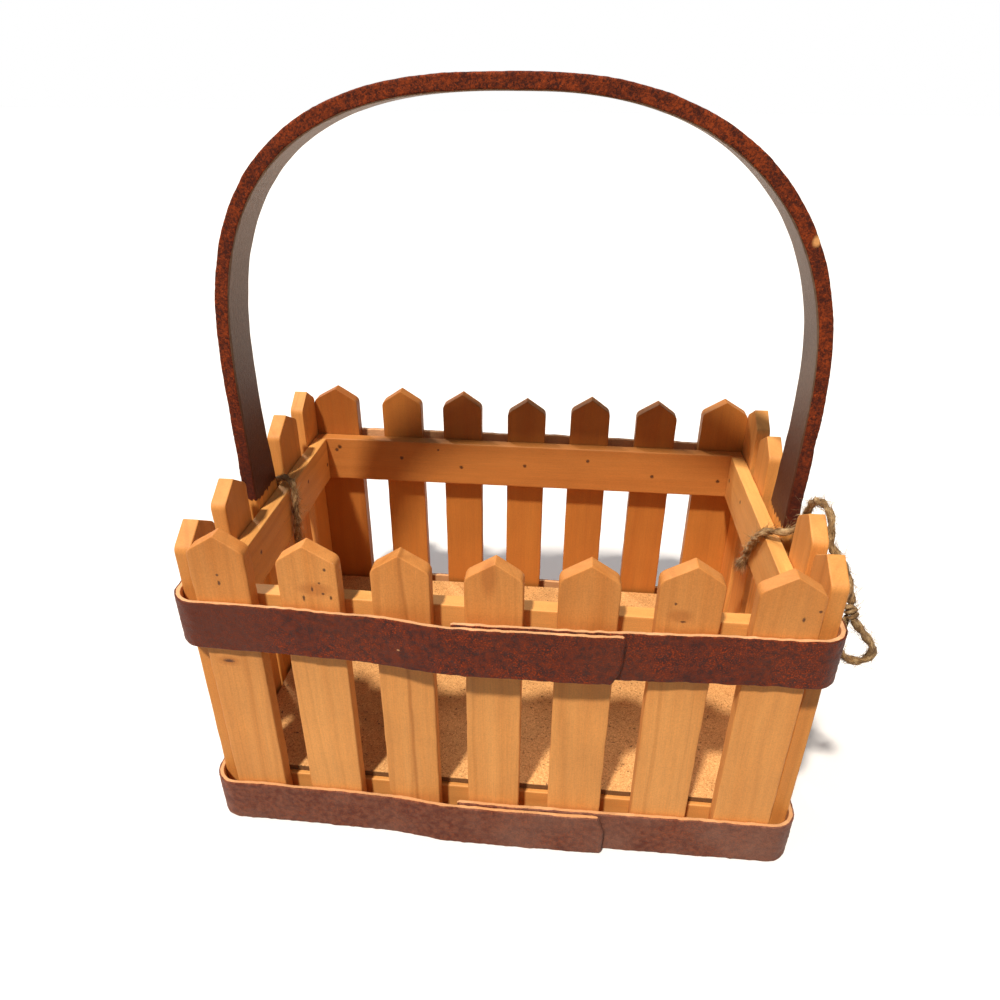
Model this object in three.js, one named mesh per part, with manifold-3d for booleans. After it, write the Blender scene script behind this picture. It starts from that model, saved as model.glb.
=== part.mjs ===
// Picket-sided wooden basket with a bent hoop handle and twine ties, in millimetres, +Z up.
// Its long side runs along X, its back is towards +Y, and it stands on z = 0.
import * as THREE from 'three';
import { mergeVertices } from 'three/addons/utils/BufferGeometryUtils.js';
import Module from 'manifold-3d';

const wasm = await Module();
wasm.setup();

// A point of a flat outline.
const flatPoint = (x, y) => new THREE.Vector2(x, y);

// Driving dimensions of the frame of rails.
const gap = 0.3;
const insideLength = 230;
const insideWidth = 144;
const upperRailTop = 124;
const upperRailHeight = 25.6;
const railThickness = 6.8;
const lowerRailHeight = 21.4;
const floorThickness = 3;
const floorInset = 1.6;

// Driving dimensions of the pickets.
const picketThickness = 6.8;
const picketWidth = 23;
const picketHeight = 152;
const shoulderDrop = 7.4;
const shoulderRound = 2.2;
const apexRound = 2.6;
const endInset = 2.3;

// Driving dimensions of the bands.
const bandThickness = 2.4;
const bandHeight = 22.8;
const bandCornerRadius = 8.5;
const bandAboveRail = 0.8;
const upperBandBow = 3.4;
const lowerBandBow = 0.9;
const sideBow = 0.3;
const bandSeam = 48.5;
const bandOverlap = 66;
const bandStep = 11;
const bandScarf = 32;
const bandClimbEnd = 2;
const chipWidth = 2.7;
const chipHeight = 7;
const chipOverrun = 1;
const cornerSteps = 6;
const sideSteps = 4;

// Driving dimensions of the hoop handle.
const hoopRise = 183.4;
const hoopStraight = 56;
const legClear = 2;
const hoopThickness = 6.3;
const hoopWidth = 22;
const hoopCentre = -3;
const legFlare = 9;
const flareTop = 168;
const flareFoot = 80;
const tongueRise = 5;
const tongueShave = 0.9;
const leftFullness = 2.75;
const rightFullness = 2.4;
const hoopSteps = 44;

// Driving dimensions of the brads and the twine.
const bradRadius = 0.65;
const bradHeadRadius = 1.2;
const bradHeadThickness = 0.8;
const bradRecess = 0.25;
const bradDrop = 12;
const bradSides = 8;
const holeOverrun = 1;
const twineDiameter = 3.4;
const twineSides = 8;
const knotRadius = 3.7;
const knotWidthShare = 0.9;
const knotHeightShare = 1.15;

// Planes that several pieces share.
const railOuterX = insideLength / 2 + railThickness;
const railOuterY = insideWidth / 2 + railThickness;
const picketInnerX = railOuterX + gap;
const picketInnerY = railOuterY + gap;
const picketOuterX = picketInnerX + picketThickness;
const picketOuterY = picketInnerY + picketThickness;
const bandInnerX = picketOuterX + gap;
const bandInnerY = picketOuterY + gap;
const straightX = bandInnerX - bandCornerRadius;
const straightY = bandInnerY - bandCornerRadius;
const upperBandTop = upperRailTop + bandAboveRail;
const upperBandLow = upperBandTop - bandHeight;
const bradHeight = upperRailTop - bradDrop;

// Each picket was cut and nailed by hand: how far its centre, width, top and nail stray.
const frontRow = [
  { shift: -0.3, wider: -0.1, taller: 3.3, nail: -1 },
  { shift: -1.2, wider: 0.7, taller: 1, nail: 1 },
  { shift: -1.2, wider: -0.2, taller: -0.7, nail: 0 },
  { shift: -1.6, wider: -0.4, taller: -1.9, nail: -2 },
  { shift: -1.9, wider: 0.1, taller: -0.3, nail: 2 },
  { shift: -0.8, wider: 0.8, taller: 1.8, nail: 0 },
  { shift: -0.9, wider: 1.1, taller: -0.4, nail: 1 },
];
const backRow = [
  { shift: -1.5, wider: 1.5, taller: 0.5, nail: 5 },
  { shift: 0.7, wider: -0.4, taller: 0.6, nail: 1.6 },
  { shift: -0.4, wider: -0.8, taller: 0, nail: -2.7 },
  { shift: 0.4, wider: -1.4, taller: -2.6, nail: 0 },
  { shift: 0.2, wider: -1.1, taller: -0.3, nail: 4.9 },
  { shift: 1, wider: -0.9, taller: -1.2, nail: -3 },
  { shift: 1.8, wider: 0.9, taller: 1.3, nail: -4 },
];
const leftRow = [
  { seat: 'frontCorner', away: 0.3, wider: 0, taller: -1.2, nail: 0 },
  { seat: 'beforeHoop', share: 0.41, wider: 0.2, taller: -0.4, nail: 1.4 },
  { seat: 'afterHoop', share: 0.66, wider: 3.4, taller: 1.6, nail: 2.4 },
  { seat: 'backCorner', away: -1.5, wider: -2.4, taller: 2, nail: -3.5 },
];
const rightRow = [
  { seat: 'frontCorner', away: 0.3, wider: 0.3, taller: -1.6, nail: 0 },
  { seat: 'beforeHoop', share: 0.74, wider: 0.3, taller: 0.4, nail: 2 },
  { seat: 'afterHoop', share: 0.73, wider: 0, taller: 0.6, nail: 1.8 },
  { seat: 'backCorner', away: -0.4, wider: 0, taller: 2.2, nail: -1 },
];

// Finishes.
function finish(color, roughness, metalness) {
  return { color, roughness, metalness };
}
const pine = finish('#d29a55', 0.62, 0);
const palePine = finish('#dcab68', 0.6, 0);
const hardboard = finish('#b98b52', 0.85, 0);
const bark = finish('#6e3322', 0.75, 0);
const hoopBark = finish('#6f3d29', 0.68, 0);
const jute = finish('#9c8158', 0.95, 0);
const steel = finish('#8d8a84', 0.4, 0.9);

const basket = new THREE.Group();

// Adds a named piece with a material of its own.
function addPiece(name, geometry, look) {
  const mesh = new THREE.Mesh(geometry, new THREE.MeshStandardMaterial({ ...look }));
  mesh.name = name;
  basket.add(mesh);
}

// Turns a closed geometry into a solid that can be cut or joined.
function toSolid(geometry) {
  const bare = geometry.clone();
  bare.deleteAttribute('normal');
  bare.deleteAttribute('uv');
  const merged = mergeVertices(bare, 1e-4);
  return new wasm.Manifold(new wasm.Mesh({
    numProp: 3,
    vertProperties: new Float32Array(merged.attributes.position.array),
    triVerts: new Uint32Array(merged.index.array),
  }));
}

// Turns a solid back into a geometry.
function toGeometry(solid) {
  const mesh = solid.getMesh();
  const geometry = new THREE.BufferGeometry();
  geometry.setAttribute('position', new THREE.BufferAttribute(new Float32Array(mesh.vertProperties), 3));
  geometry.setIndex(new THREE.BufferAttribute(new Uint32Array(mesh.triVerts), 1));
  geometry.computeVertexNormals();
  return geometry;
}

// Cuts each of the tools from a geometry.
function cut(geometry, tools) {
  let solid = toSolid(geometry);
  for (const tool of tools) solid = solid.subtract(toSolid(tool));
  return toGeometry(solid);
}

// A box from its lowest to its highest corner.
function boxBetween(low, high) {
  const box = new THREE.BoxGeometry(high[0] - low[0], high[1] - low[1], high[2] - low[2]);
  box.translate((low[0] + high[0]) / 2, (low[1] + high[1]) / 2, (low[2] + high[2]) / 2);
  return box;
}

// A round pin with a head at its foot, along the axis from one point by a length.
function pinAlong(from, axis, length, radius, headRadius, headThickness) {
  const profile = [
    flatPoint(0, 0),
    flatPoint(headRadius, 0),
    flatPoint(headRadius, headThickness),
    flatPoint(radius, headThickness),
    flatPoint(radius, length),
    flatPoint(0, length),
  ];
  const pin = new THREE.LatheGeometry(profile, bradSides);
  const turn = new THREE.Quaternion().setFromUnitVectors(new THREE.Vector3(0, 1, 0), axis);
  pin.applyQuaternion(turn);
  pin.translate(from.x, from.y, from.z);
  return pin;
}

// A brad through a picket or hoop leg and its rail, and the hole that it needs.
function bradAndHole(face, inward) {
  const reach = picketThickness + gap + railThickness;
  const foot = face.clone().addScaledVector(inward, bradRecess);
  const brad = pinAlong(foot, inward, reach - 2 * bradRecess, bradRadius, bradHeadRadius, bradHeadThickness);
  const mouth = face.clone().addScaledVector(inward, -holeOverrun);
  const length = reach + 2 * holeOverrun;
  const seatDepth = holeOverrun + bradRecess + bradHeadThickness + gap;
  const hole = pinAlong(mouth, inward, length, bradRadius + gap, bradHeadRadius + gap, seatDepth);
  return { brad, hole };
}

// The pointed outline of a picket: two rounded shoulders and a rounded tip.
function picketOutline(width, height) {
  const half = width / 2;
  const shoulder = height - shoulderDrop;
  const slope = Math.atan2(shoulderDrop, half);
  const reachAcross = (amount) => amount * Math.cos(slope);
  const reachUp = (amount) => amount * Math.sin(slope);
  const outline = new THREE.Shape();
  outline.moveTo(-half, 0);
  outline.lineTo(half, 0);
  outline.lineTo(half, shoulder - shoulderRound);
  const shoulderX = half - reachAcross(shoulderRound);
  const shoulderY = shoulder + reachUp(shoulderRound);
  outline.quadraticCurveTo(half, shoulder, shoulderX, shoulderY);
  outline.lineTo(reachAcross(apexRound), height - reachUp(apexRound));
  outline.quadraticCurveTo(0, height, -reachAcross(apexRound), height - reachUp(apexRound));
  outline.lineTo(-shoulderX, shoulderY);
  outline.quadraticCurveTo(-half, shoulder, -half, shoulder - shoulderRound);
  outline.closePath();
  return outline;
}

// A picket standing in the XZ plane, its outer face at y = 0 and its inner face at y = thickness.
function picketGeometry(width, height) {
  const slab = new THREE.ExtrudeGeometry(picketOutline(width, height), {
    depth: picketThickness, bevelEnabled: false, curveSegments: 3,
  });
  slab.rotateX(Math.PI / 2);
  slab.translate(0, picketThickness, 0);
  return slab;
}

const railHoles = { front: [], back: [], left: [], right: [] };
const X = new THREE.Vector3(1, 0, 0);
const Y = new THREE.Vector3(0, 1, 0);
const Z = new THREE.Vector3(0, 0, 1);

// One side's pickets, each nailed to the rail behind it.
function addRow(side, row, place, turn, inward) {
  row.forEach((cutting, index) => {
    const width = picketWidth + cutting.wider;
    const height = picketHeight + cutting.taller;
    const slab = picketGeometry(width, height);
    slab.rotateZ(turn);
    const centre = place(cutting, index);
    slab.translate(centre.x, centre.y, 0);
    const face = new THREE.Vector3(centre.x, centre.y, bradHeight + cutting.nail);
    const { brad, hole } = bradAndHole(face, inward);
    railHoles[side].push(hole);
    addPiece(`${side}_picket_${index + 1}`, cut(slab, [hole]), pine);
    addPiece(`brad_${side}_${index + 1}`, brad, steel);
  });
}

// The long rows keep an even pitch from end to end of their rails.
const alongX = (sign) => (cutting, index) => {
  const last = frontRow.length - 1;
  const pitch = (2 * (railOuterX - endInset) - picketWidth) / last;
  return new THREE.Vector3((index - last / 2) * pitch + cutting.shift, sign * picketOuterY, 0);
};

// The short rows have a picket at each corner, and one between it and the hoop's leg on either side.
const cornerReach = railOuterY - picketWidth / 2;
const freeBefore = hoopCentre - hoopWidth / 2 + cornerReach - 1.5 * picketWidth;
const freeAfter = cornerReach - hoopCentre - hoopWidth / 2 - 1.5 * picketWidth;
const seats = {
  frontCorner: ({ away }) => -cornerReach + away,
  beforeHoop: ({ share }) => hoopCentre - hoopWidth / 2 - picketWidth / 2 - share * freeBefore,
  afterHoop: ({ share }) => hoopCentre + hoopWidth / 2 + picketWidth / 2 + share * freeAfter,
  backCorner: ({ away }) => cornerReach - away,
};
const alongY = (sign) => (cutting) => new THREE.Vector3(sign * picketOuterX, seats[cutting.seat](cutting), 0);
addRow('front', frontRow, alongX(-1), 0, Y.clone());
addRow('back', backRow, alongX(1), Math.PI, Y.clone().negate());
addRow('left', leftRow, alongY(-1), -Math.PI / 2, X.clone());
addRow('right', rightRow, alongY(1), Math.PI / 2, X.clone().negate());

// The hoop handle: a bent strip with legs that stand outside the side rails.
const hoopHalf = picketInnerX + hoopThickness;
const hoopTop = upperRailTop + hoopRise;
const hoopSpring = upperRailTop + hoopStraight;
const hoopFoot = legClear;
const tongueTop = upperRailTop + tongueRise;

// A point of the hoop's outer face, from 0 at the right leg's top to 1 at the left leg's top.
function hoopPoint(share) {
  const angle = share * Math.PI;
  const across = Math.cos(angle);
  const up = Math.sin(angle);
  const power = 2 / (across > 0 ? rightFullness : leftFullness);
  return flatPoint(
    hoopHalf * Math.sign(across) * Math.abs(across) ** power,
    hoopSpring + (hoopTop - hoopSpring) * up ** power,
  );
}

// The strip's outline in the XZ plane, with shaved tongues at both feet.
function hoopOutline() {
  const outer = [];
  for (let step = 0; step <= hoopSteps; step += 1) {
    outer.push(hoopPoint(0.5 - 0.5 * Math.cos((step / hoopSteps) * Math.PI)));
  }
  const inner = outer.map((point, index) => {
    const before = outer[Math.max(index - 1, 0)];
    const after = outer[Math.min(index + 1, hoopSteps)];
    const run = after.clone().sub(before).normalize();
    if (index === 0) return flatPoint(point.x - hoopThickness, point.y);
    if (index === hoopSteps) return flatPoint(point.x + hoopThickness, point.y);
    return flatPoint(point.x - run.y * hoopThickness, point.y + run.x * hoopThickness);
  });
  const shaved = hoopHalf - tongueShave;
  const inside = hoopHalf - hoopThickness;
  return [
    flatPoint(inside, hoopFoot),
    flatPoint(shaved, hoopFoot),
    flatPoint(shaved, tongueTop),
    flatPoint(hoopHalf, tongueTop + 2 * tongueShave),
    ...outer,
    flatPoint(-hoopHalf, tongueTop + 2 * tongueShave),
    flatPoint(-shaved, tongueTop),
    flatPoint(-shaved, hoopFoot),
    flatPoint(-inside, hoopFoot),
    ...inner.reverse(),
  ];
}

const hoopShape = new THREE.Shape(hoopOutline());
const hoop = new THREE.ExtrudeGeometry(hoopShape, { depth: hoopWidth + legFlare, bevelEnabled: false });
hoop.rotateX(Math.PI / 2);
const hoopBack = hoopCentre + hoopWidth / 2;
hoop.translate(0, hoopBack + legFlare, 0);

// The legs widen to the back on their way down, so what is too wide is cut from the arch's back.
const pastBack = hoopBack + legFlare + holeOverrun;
const pastTop = hoopTop + holeOverrun;
const pastSide = hoopHalf + holeOverrun;
const tooWide = new THREE.ExtrudeGeometry(new THREE.Shape([
  flatPoint(hoopBack, flareTop),
  flatPoint(hoopBack + legFlare, flareFoot),
  flatPoint(pastBack, flareFoot),
  flatPoint(pastBack, pastTop),
  flatPoint(hoopBack, pastTop),
]), { depth: 2 * pastSide, bevelEnabled: false });
tooWide.applyMatrix4(new THREE.Matrix4().makeBasis(Y, Z, X));
tooWide.translate(-pastSide, 0, 0);
const hoopBrads = [['left', -1], ['right', 1]].map(([side, sign]) => {
  const face = new THREE.Vector3(sign * picketOuterX, hoopCentre, bradHeight);
  const { brad, hole } = bradAndHole(face, X.clone().multiplyScalar(-sign));
  railHoles[side].push(hole);
  addPiece(`brad_handle_${side}`, brad, steel);
  return hole;
});
addPiece('handle', cut(hoop, [tooWide, ...hoopBrads]), hoopBark);

// The rails: the long ones run the whole length and the short ones stand between them.
function addRails(level, low, high, holes) {
  const shortY = insideWidth / 2 - gap;
  const pieces = {
    front: [[-railOuterX, -railOuterY, low], [railOuterX, -insideWidth / 2, high]],
    back: [[-railOuterX, insideWidth / 2, low], [railOuterX, railOuterY, high]],
    left: [[-railOuterX, -shortY, low], [-insideLength / 2, shortY, high]],
    right: [[insideLength / 2, -shortY, low], [railOuterX, shortY, high]],
  };
  for (const [side, [from, to]] of Object.entries(pieces)) {
    addPiece(`${level}_rail_${side}`, cut(boxBetween(from, to), holes[side]), palePine);
  }
}
addRails('upper', upperRailTop - upperRailHeight, upperRailTop, railHoles);
addRails('lower', 0, lowerRailHeight, { front: [], back: [], left: [], right: [] });

// The floor board lies on the lower rails, inside the pickets.
const floorLow = lowerRailHeight + gap;
const floorX = railOuterX - floorInset;
const floorY = railOuterY - floorInset;
addPiece(
  'floor_board',
  boxBetween([-floorX, -floorY, floorLow], [floorX, floorY, floorLow + floorThickness]),
  hardboard,
);

// How far a bowed strip stands out along a straight side, as a share of its bow.
function swell(share) {
  return Math.sin(share * Math.PI) ** 2;
}

// The same at a place along the front.
function frontSwell(x) {
  return swell((x + straightX) / (2 * straightX));
}

// A band's inner line: round the pickets, from its inner end at the front, to its outer end over it.
function bandLine(bow) {
  const line = [];
  const start = bandSeam - bandOverlap;
  const addFront = (from, to, lift) => {
    const count = Math.ceil((to - from) / bandStep);
    for (let step = 0; step <= count; step += 1) {
      const x = from + ((to - from) * step) / count;
      line.push(flatPoint(x, -bandInnerY - bow * frontSwell(x) - lift(x)));
    }
  };
  const addCorner = (centreX, centreY, fromTurn) => {
    for (let step = 1; step < cornerSteps; step += 1) {
      const angle = fromTurn + (step / cornerSteps) * (Math.PI / 2);
      const spoke = flatPoint(Math.cos(angle), Math.sin(angle)).multiplyScalar(bandCornerRadius);
      line.push(spoke.add(flatPoint(centreX, centreY)));
    }
  };
  const addSide = (from, to) => {
    const run = to.clone().sub(from).normalize();
    const outward = flatPoint(run.y, -run.x);
    for (let step = 0; step <= sideSteps; step += 1) {
      const share = step / sideSteps;
      const place = from.clone().lerp(to, share);
      line.push(place.addScaledVector(outward, sideBow * bow * swell(share)));
    }
  };
  addFront(start, straightX, () => 0);
  addCorner(straightX, -straightY, -Math.PI / 2);
  addSide(flatPoint(bandInnerX, -straightY), flatPoint(bandInnerX, straightY));
  addCorner(straightX, straightY, 0);
  addSide(flatPoint(straightX, bandInnerY), flatPoint(-straightX, bandInnerY));
  addCorner(-straightX, straightY, Math.PI / 2);
  addSide(flatPoint(-bandInnerX, straightY), flatPoint(-bandInnerX, -straightY));
  addCorner(-straightX, -straightY, Math.PI);
  const climb = (x) => {
    const share = THREE.MathUtils.smoothstep(x, start - bandScarf, start - bandClimbEnd);
    return share * (bandThickness + gap);
  };
  addFront(-straightX, bandSeam, climb);
  return line;
}

// Gives the strip its thickness outside the inner line, and its height.
function bandGeometry(bow, bottom, nick) {
  const seamFace = bandInnerY + bow * frontSwell(bandSeam) + bandThickness + gap / 2;
  const line = bandLine(bow);
  const outer = line.map((point, index) => {
    const before = line[Math.max(index - 1, 0)];
    const after = line[Math.min(index + 1, line.length - 1)];
    const run = after.clone().sub(before).normalize();
    return flatPoint(point.x + run.y * bandThickness, point.y - run.x * bandThickness);
  });
  const strip = new THREE.Shape([...line, ...outer.reverse()]);
  const band = new THREE.ExtrudeGeometry(strip, { depth: bandHeight, bevelEnabled: false });
  band.translate(0, 0, bottom);
  const nickShape = new THREE.Shape(nick);
  const wedge = new THREE.ExtrudeGeometry(nickShape, { depth: 2 * bandThickness, bevelEnabled: false });
  wedge.rotateX(Math.PI / 2);
  wedge.translate(0, -seamFace, 0);
  return cut(band, [wedge]);
}

// The chips broken from the outer ends, beside the seam.
const chipFrom = bandSeam - chipWidth;
const chipTo = bandSeam + chipOverrun;
const upperChip = [
  flatPoint(chipFrom, upperBandLow - chipOverrun),
  flatPoint(chipTo, upperBandLow - chipOverrun),
  flatPoint(chipTo, upperBandLow + chipHeight),
];
const lowerChip = [
  flatPoint(bandSeam - chipWidth / 2, bandHeight - chipHeight),
  flatPoint(chipTo, bandHeight - chipHeight),
  flatPoint(chipTo, bandHeight + chipOverrun),
  flatPoint(chipFrom, bandHeight + chipOverrun),
];
addPiece('upper_band', bandGeometry(upperBandBow, upperBandLow, upperChip), bark);
addPiece('lower_band', bandGeometry(lowerBandBow, 0, lowerChip), bark);

// A tube of twine along hand-placed points.
const twineRadius = twineDiameter / 2;
function twineTube(points, steps) {
  const knots = points.map(([x, y, z]) => new THREE.Vector3(x, y, z));
  const path = new THREE.CatmullRomCurve3(knots, false, 'centripetal');
  const corners = [];
  for (let side = 0; side < twineSides; side += 1) {
    const angle = ((side + 0.5) / twineSides) * 2 * Math.PI;
    corners.push(flatPoint(Math.cos(angle) * twineRadius, Math.sin(angle) * twineRadius));
  }
  const section = new THREE.Shape(corners);
  return new THREE.ExtrudeGeometry(section, { steps, extrudePath: path, bevelEnabled: false });
}

// Places along the side rails that the twine follows.
const besideInner = insideLength / 2 - twineRadius - gap;
const railMiddle = insideLength / 2 + railThickness / 2;
const overRail = upperRailTop + twineRadius + gap;
const channel = (railOuterX + bandInnerX) / 2;
const hang = bandInnerX + bandThickness + twineRadius + 2 * gap;

// Left tie: a frayed tail inside, over the rail behind the handle, tucked in beside the band.
const leftTwine = [
  [-besideInner, 4.2, 88], [-besideInner, 5.2, 95], [-besideInner, 6.4, 102],
  [-besideInner, 7.6, 109], [-besideInner, 8.3, 115.5], [-besideInner + 0.2, 9.2, 121],
  [-besideInner - 1.1, 11.2, overRail + 0.5], [-railMiddle + 1, 13.6, overRail + 1.7],
  [-railMiddle - 2.4, 15.6, overRail + 0.9], [-channel + 0.9, 17, overRail - 1.8],
  [-channel, 17.9, 120], [-channel, 18.3, 115], [-channel, 18.5, 110],
];
addPiece('left_twine', twineTube(leftTwine, 30), jute);

// Right tie: a frayed tail inside, over the rail, over the second picket's tip, and down to a knot.
const rightStrand = [
  [besideInner, 5, 99.5], [besideInner, 2.4, 105.5], [besideInner, -1.6, 112],
  [besideInner, -6.4, 118], [besideInner - 0.2, -10.6, 122.4], [besideInner + 0.9, -14, overRail + 0.8],
  [railMiddle - 1, -17.2, overRail + 3.2], [railMiddle + 3.6, -19.4, overRail + 4.6],
  [channel + 1.2, -20.4, overRail + 9], [channel + 2.7, -20.9, 141], [channel + 2.7, -23.2, 146.6],
  [channel + 2.4, -27.6, 151], [channel + 2.8, -33, 153.6], [channel + 4.1, -37.6, 153.4],
  [channel + 5.5, -40.6, 150.4], [channel + 6, -42, 146], [channel + 6.1, -43.8, 142.2],
  [channel + 6.7, -47.6, 139.8], [channel + 8.2, -53.2, 138.6], [hang + 0.8, -59.2, 136.2],
  [hang + 1.4, -64.4, 132.2], [hang + 1.6, -67.8, 127.8],
];
const knot = [hang + 1.7, -69, 125.4];
const rightLoop = [
  [hang + 1.8, -70, 124.4], [hang + 4.4, -71, 120.8], [hang + 7.9, -71.8, 116.8],
  [hang + 11.2, -71.8, 112.6], [hang + 13, -71.2, 108], [hang + 11.8, -70.4, 104],
  [hang + 8.2, -69.6, 102], [hang + 4, -68.8, 103], [hang + 1.3, -68.2, 106.8],
  [hang + 0.4, -68, 112], [hang + 0.4, -68.2, 118], [hang + 0.9, -68.8, 123.4],
];
const knotSolid = new THREE.SphereGeometry(knotRadius, 12, 8);
knotSolid.scale(knotWidthShare, knotWidthShare, knotHeightShare);
knotSolid.translate(...knot);
const rightTie = toSolid(twineTube(rightStrand, 46))
  .add(toSolid(twineTube(rightLoop, 30)))
  .add(toSolid(knotSolid));
addPiece('right_twine', toGeometry(rightTie), jute);

// The origin is under the middle of the wood, so the twine is left out of the box.
const wood = new THREE.Box3();
for (const piece of basket.children) {
  if (!piece.name.endsWith('twine')) wood.expandByObject(piece);
}
basket.position.y = -(wood.min.y + wood.max.y) / 2;
basket.updateMatrixWorld(true);

export default basket;
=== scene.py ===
"""Visual model of a wooden picket basket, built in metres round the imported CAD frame.

The long side runs along X, the back is towards +Y and the basket stands on z = 0. Each
sub-assembly is a class that works its surfaces out on grids and dresses them, and each
finish is a small frozen class that builds one material.
"""

import logging
import math
from dataclasses import dataclass
from enum import Enum

import bmesh
import bpy
import numpy as np
from mathutils import Matrix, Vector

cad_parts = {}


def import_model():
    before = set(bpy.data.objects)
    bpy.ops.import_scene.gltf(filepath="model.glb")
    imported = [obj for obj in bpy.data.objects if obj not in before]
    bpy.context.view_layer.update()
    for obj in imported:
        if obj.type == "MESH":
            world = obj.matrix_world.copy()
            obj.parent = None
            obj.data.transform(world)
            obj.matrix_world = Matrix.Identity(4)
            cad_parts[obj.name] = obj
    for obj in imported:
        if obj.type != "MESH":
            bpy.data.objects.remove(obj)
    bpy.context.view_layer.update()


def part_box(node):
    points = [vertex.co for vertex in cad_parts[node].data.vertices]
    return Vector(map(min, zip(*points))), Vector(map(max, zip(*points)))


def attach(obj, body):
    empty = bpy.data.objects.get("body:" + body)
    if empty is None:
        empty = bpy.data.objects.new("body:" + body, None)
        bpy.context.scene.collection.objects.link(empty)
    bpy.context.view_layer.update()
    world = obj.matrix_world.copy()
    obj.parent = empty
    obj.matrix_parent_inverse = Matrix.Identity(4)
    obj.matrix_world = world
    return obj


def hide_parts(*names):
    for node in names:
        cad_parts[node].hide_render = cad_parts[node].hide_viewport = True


LOG = logging.getLogger("basket")
MM = 0.001
BODY = "root"
WELD = 0.002 * MM


# Colours, nodes and meshes.


def linear(hex_colour: str) -> tuple[float, float, float, float]:
    """Turns an sRGB hex colour to linear.

    Args:
        hex_colour: A colour such as "#d29a55".

    Returns:
        Red, green, blue and alpha for a socket.
    """
    parts = [int(hex_colour[i : i + 2], 16) / 255 for i in (1, 3, 5)]
    turned = [c / 12.92 if c <= 0.04045 else ((c + 0.055) / 1.055) ** 2.4 for c in parts]
    return turned[0], turned[1], turned[2], 1.0


def add(
    tree: bpy.types.NodeTree, kind: str, *sockets: object, out: str | None = None, **named: object
) -> bpy.types.NodeSocket | None:
    """Adds a node with its settings, values and links.

    Args:
        tree: The material's or world's nodes.
        kind: The node's type, without its "ShaderNode" prefix.
        sockets: For each live input in turn, a value or the output that feeds it.
        out: The output to hand back, where it isn't the first live one.
        named: More inputs by their names, and the node's own properties.

    Returns:
        The output, or nothing where the node ends its tree.
    """
    node = tree.nodes.new(f"ShaderNode{kind}")
    settings = {key: value for key, value in named.items() if hasattr(node, key)}
    for key, value in settings.items():
        setattr(node, key, value)
    fed = list(zip([socket for socket in node.inputs if socket.enabled], sockets))
    fed += [(node.inputs[key], value) for key, value in named.items() if key not in settings]
    for socket, value in fed:
        if isinstance(value, bpy.types.NodeSocket):
            tree.links.new(value, socket)
        else:
            socket.default_value = value
    return node.outputs[out] if out else next((socket for socket in node.outputs if socket.enabled), None)


def new_material(name: str) -> tuple[bpy.types.Material, bpy.types.NodeTree]:
    """Starts a material.

    Args:
        name: The material's name.

    Returns:
        The material, and its tree with no nodes.
    """
    material = bpy.data.materials.new(name)
    material.use_nodes = True
    material.node_tree.nodes.clear()
    return material, material.node_tree


def wobble(places: np.ndarray, wave: float, seed: int) -> np.ndarray:
    """A smooth random field, about -1 to 1: the sum of plane waves with random directions and phases.

    Args:
        places: Points, with three numbers on the last axis.
        wave: The usual length of a wave, in metres.
        seed: The seed of the draw.

    Returns:
        One value a point.
    """
    draw = np.random.default_rng(seed)
    count = 24
    ways = draw.normal(size=(count, 3))
    ways /= np.linalg.norm(ways, axis=1, keepdims=True)
    ways *= (2 * np.pi / (wave * draw.uniform(0.6, 1.6, count)))[:, None]
    phases = draw.uniform(0, 2 * np.pi, count)
    return np.sin(places @ ways.T + phases).sum(axis=-1) / math.sqrt(1.5 * count)


def relief(places: np.ndarray, waves: tuple[tuple[float, float], ...], seed: int) -> np.ndarray:
    """A sum of wobbles.

    Args:
        places: Points, with three numbers on the last axis.
        waves: The height and the length of each wobble, in metres.
        seed: The seed of the first; the others have the next ones.

    Returns:
        One height a point.
    """
    return sum(height * wobble(places, wave, seed + index) for index, (height, wave) in enumerate(waves))


def ramp(values: np.ndarray, start: float, end: float) -> np.ndarray:
    """Rises smoothly from 0 at start to 1 at end.

    Args:
        values: Where to read it.
        start: The value at which the rise begins.
        end: The value at which it ends.

    Returns:
        Three times the square of the share less twice its cube.
    """
    share = np.clip((values - start) / (end - start), 0, 1)
    return share * share * (3 - 2 * share)


def unit(vectors: np.ndarray) -> np.ndarray:
    """Vectors at length one."""
    return vectors / np.maximum(np.linalg.norm(vectors, axis=-1, keepdims=True), 1e-12)


def circle(angles: np.ndarray, first: np.ndarray, second: np.ndarray) -> np.ndarray:
    """Points of a unit circle: the cosine times one axis plus the sine times the other."""
    return np.cos(angles)[..., None] * first + np.sin(angles)[..., None] * second


def travel(line: np.ndarray) -> np.ndarray:
    """How far along a line each of its points is."""
    return np.concatenate([[0], np.cumsum(np.linalg.norm(np.diff(line, axis=0), axis=1))])


def evenly(line: np.ndarray, step: float) -> np.ndarray:
    """Spaces a line's points evenly.

    Args:
        line: The points, one a row.
        step: About the distance between points of the result.

    Returns:
        Points along the straight stretches between the line's points.
    """
    travelled = travel(line)
    even = np.linspace(0, travelled[-1], max(3, math.ceil(travelled[-1] / step)))
    return np.stack([np.interp(even, travelled, column) for column in line.T], axis=-1)


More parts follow.
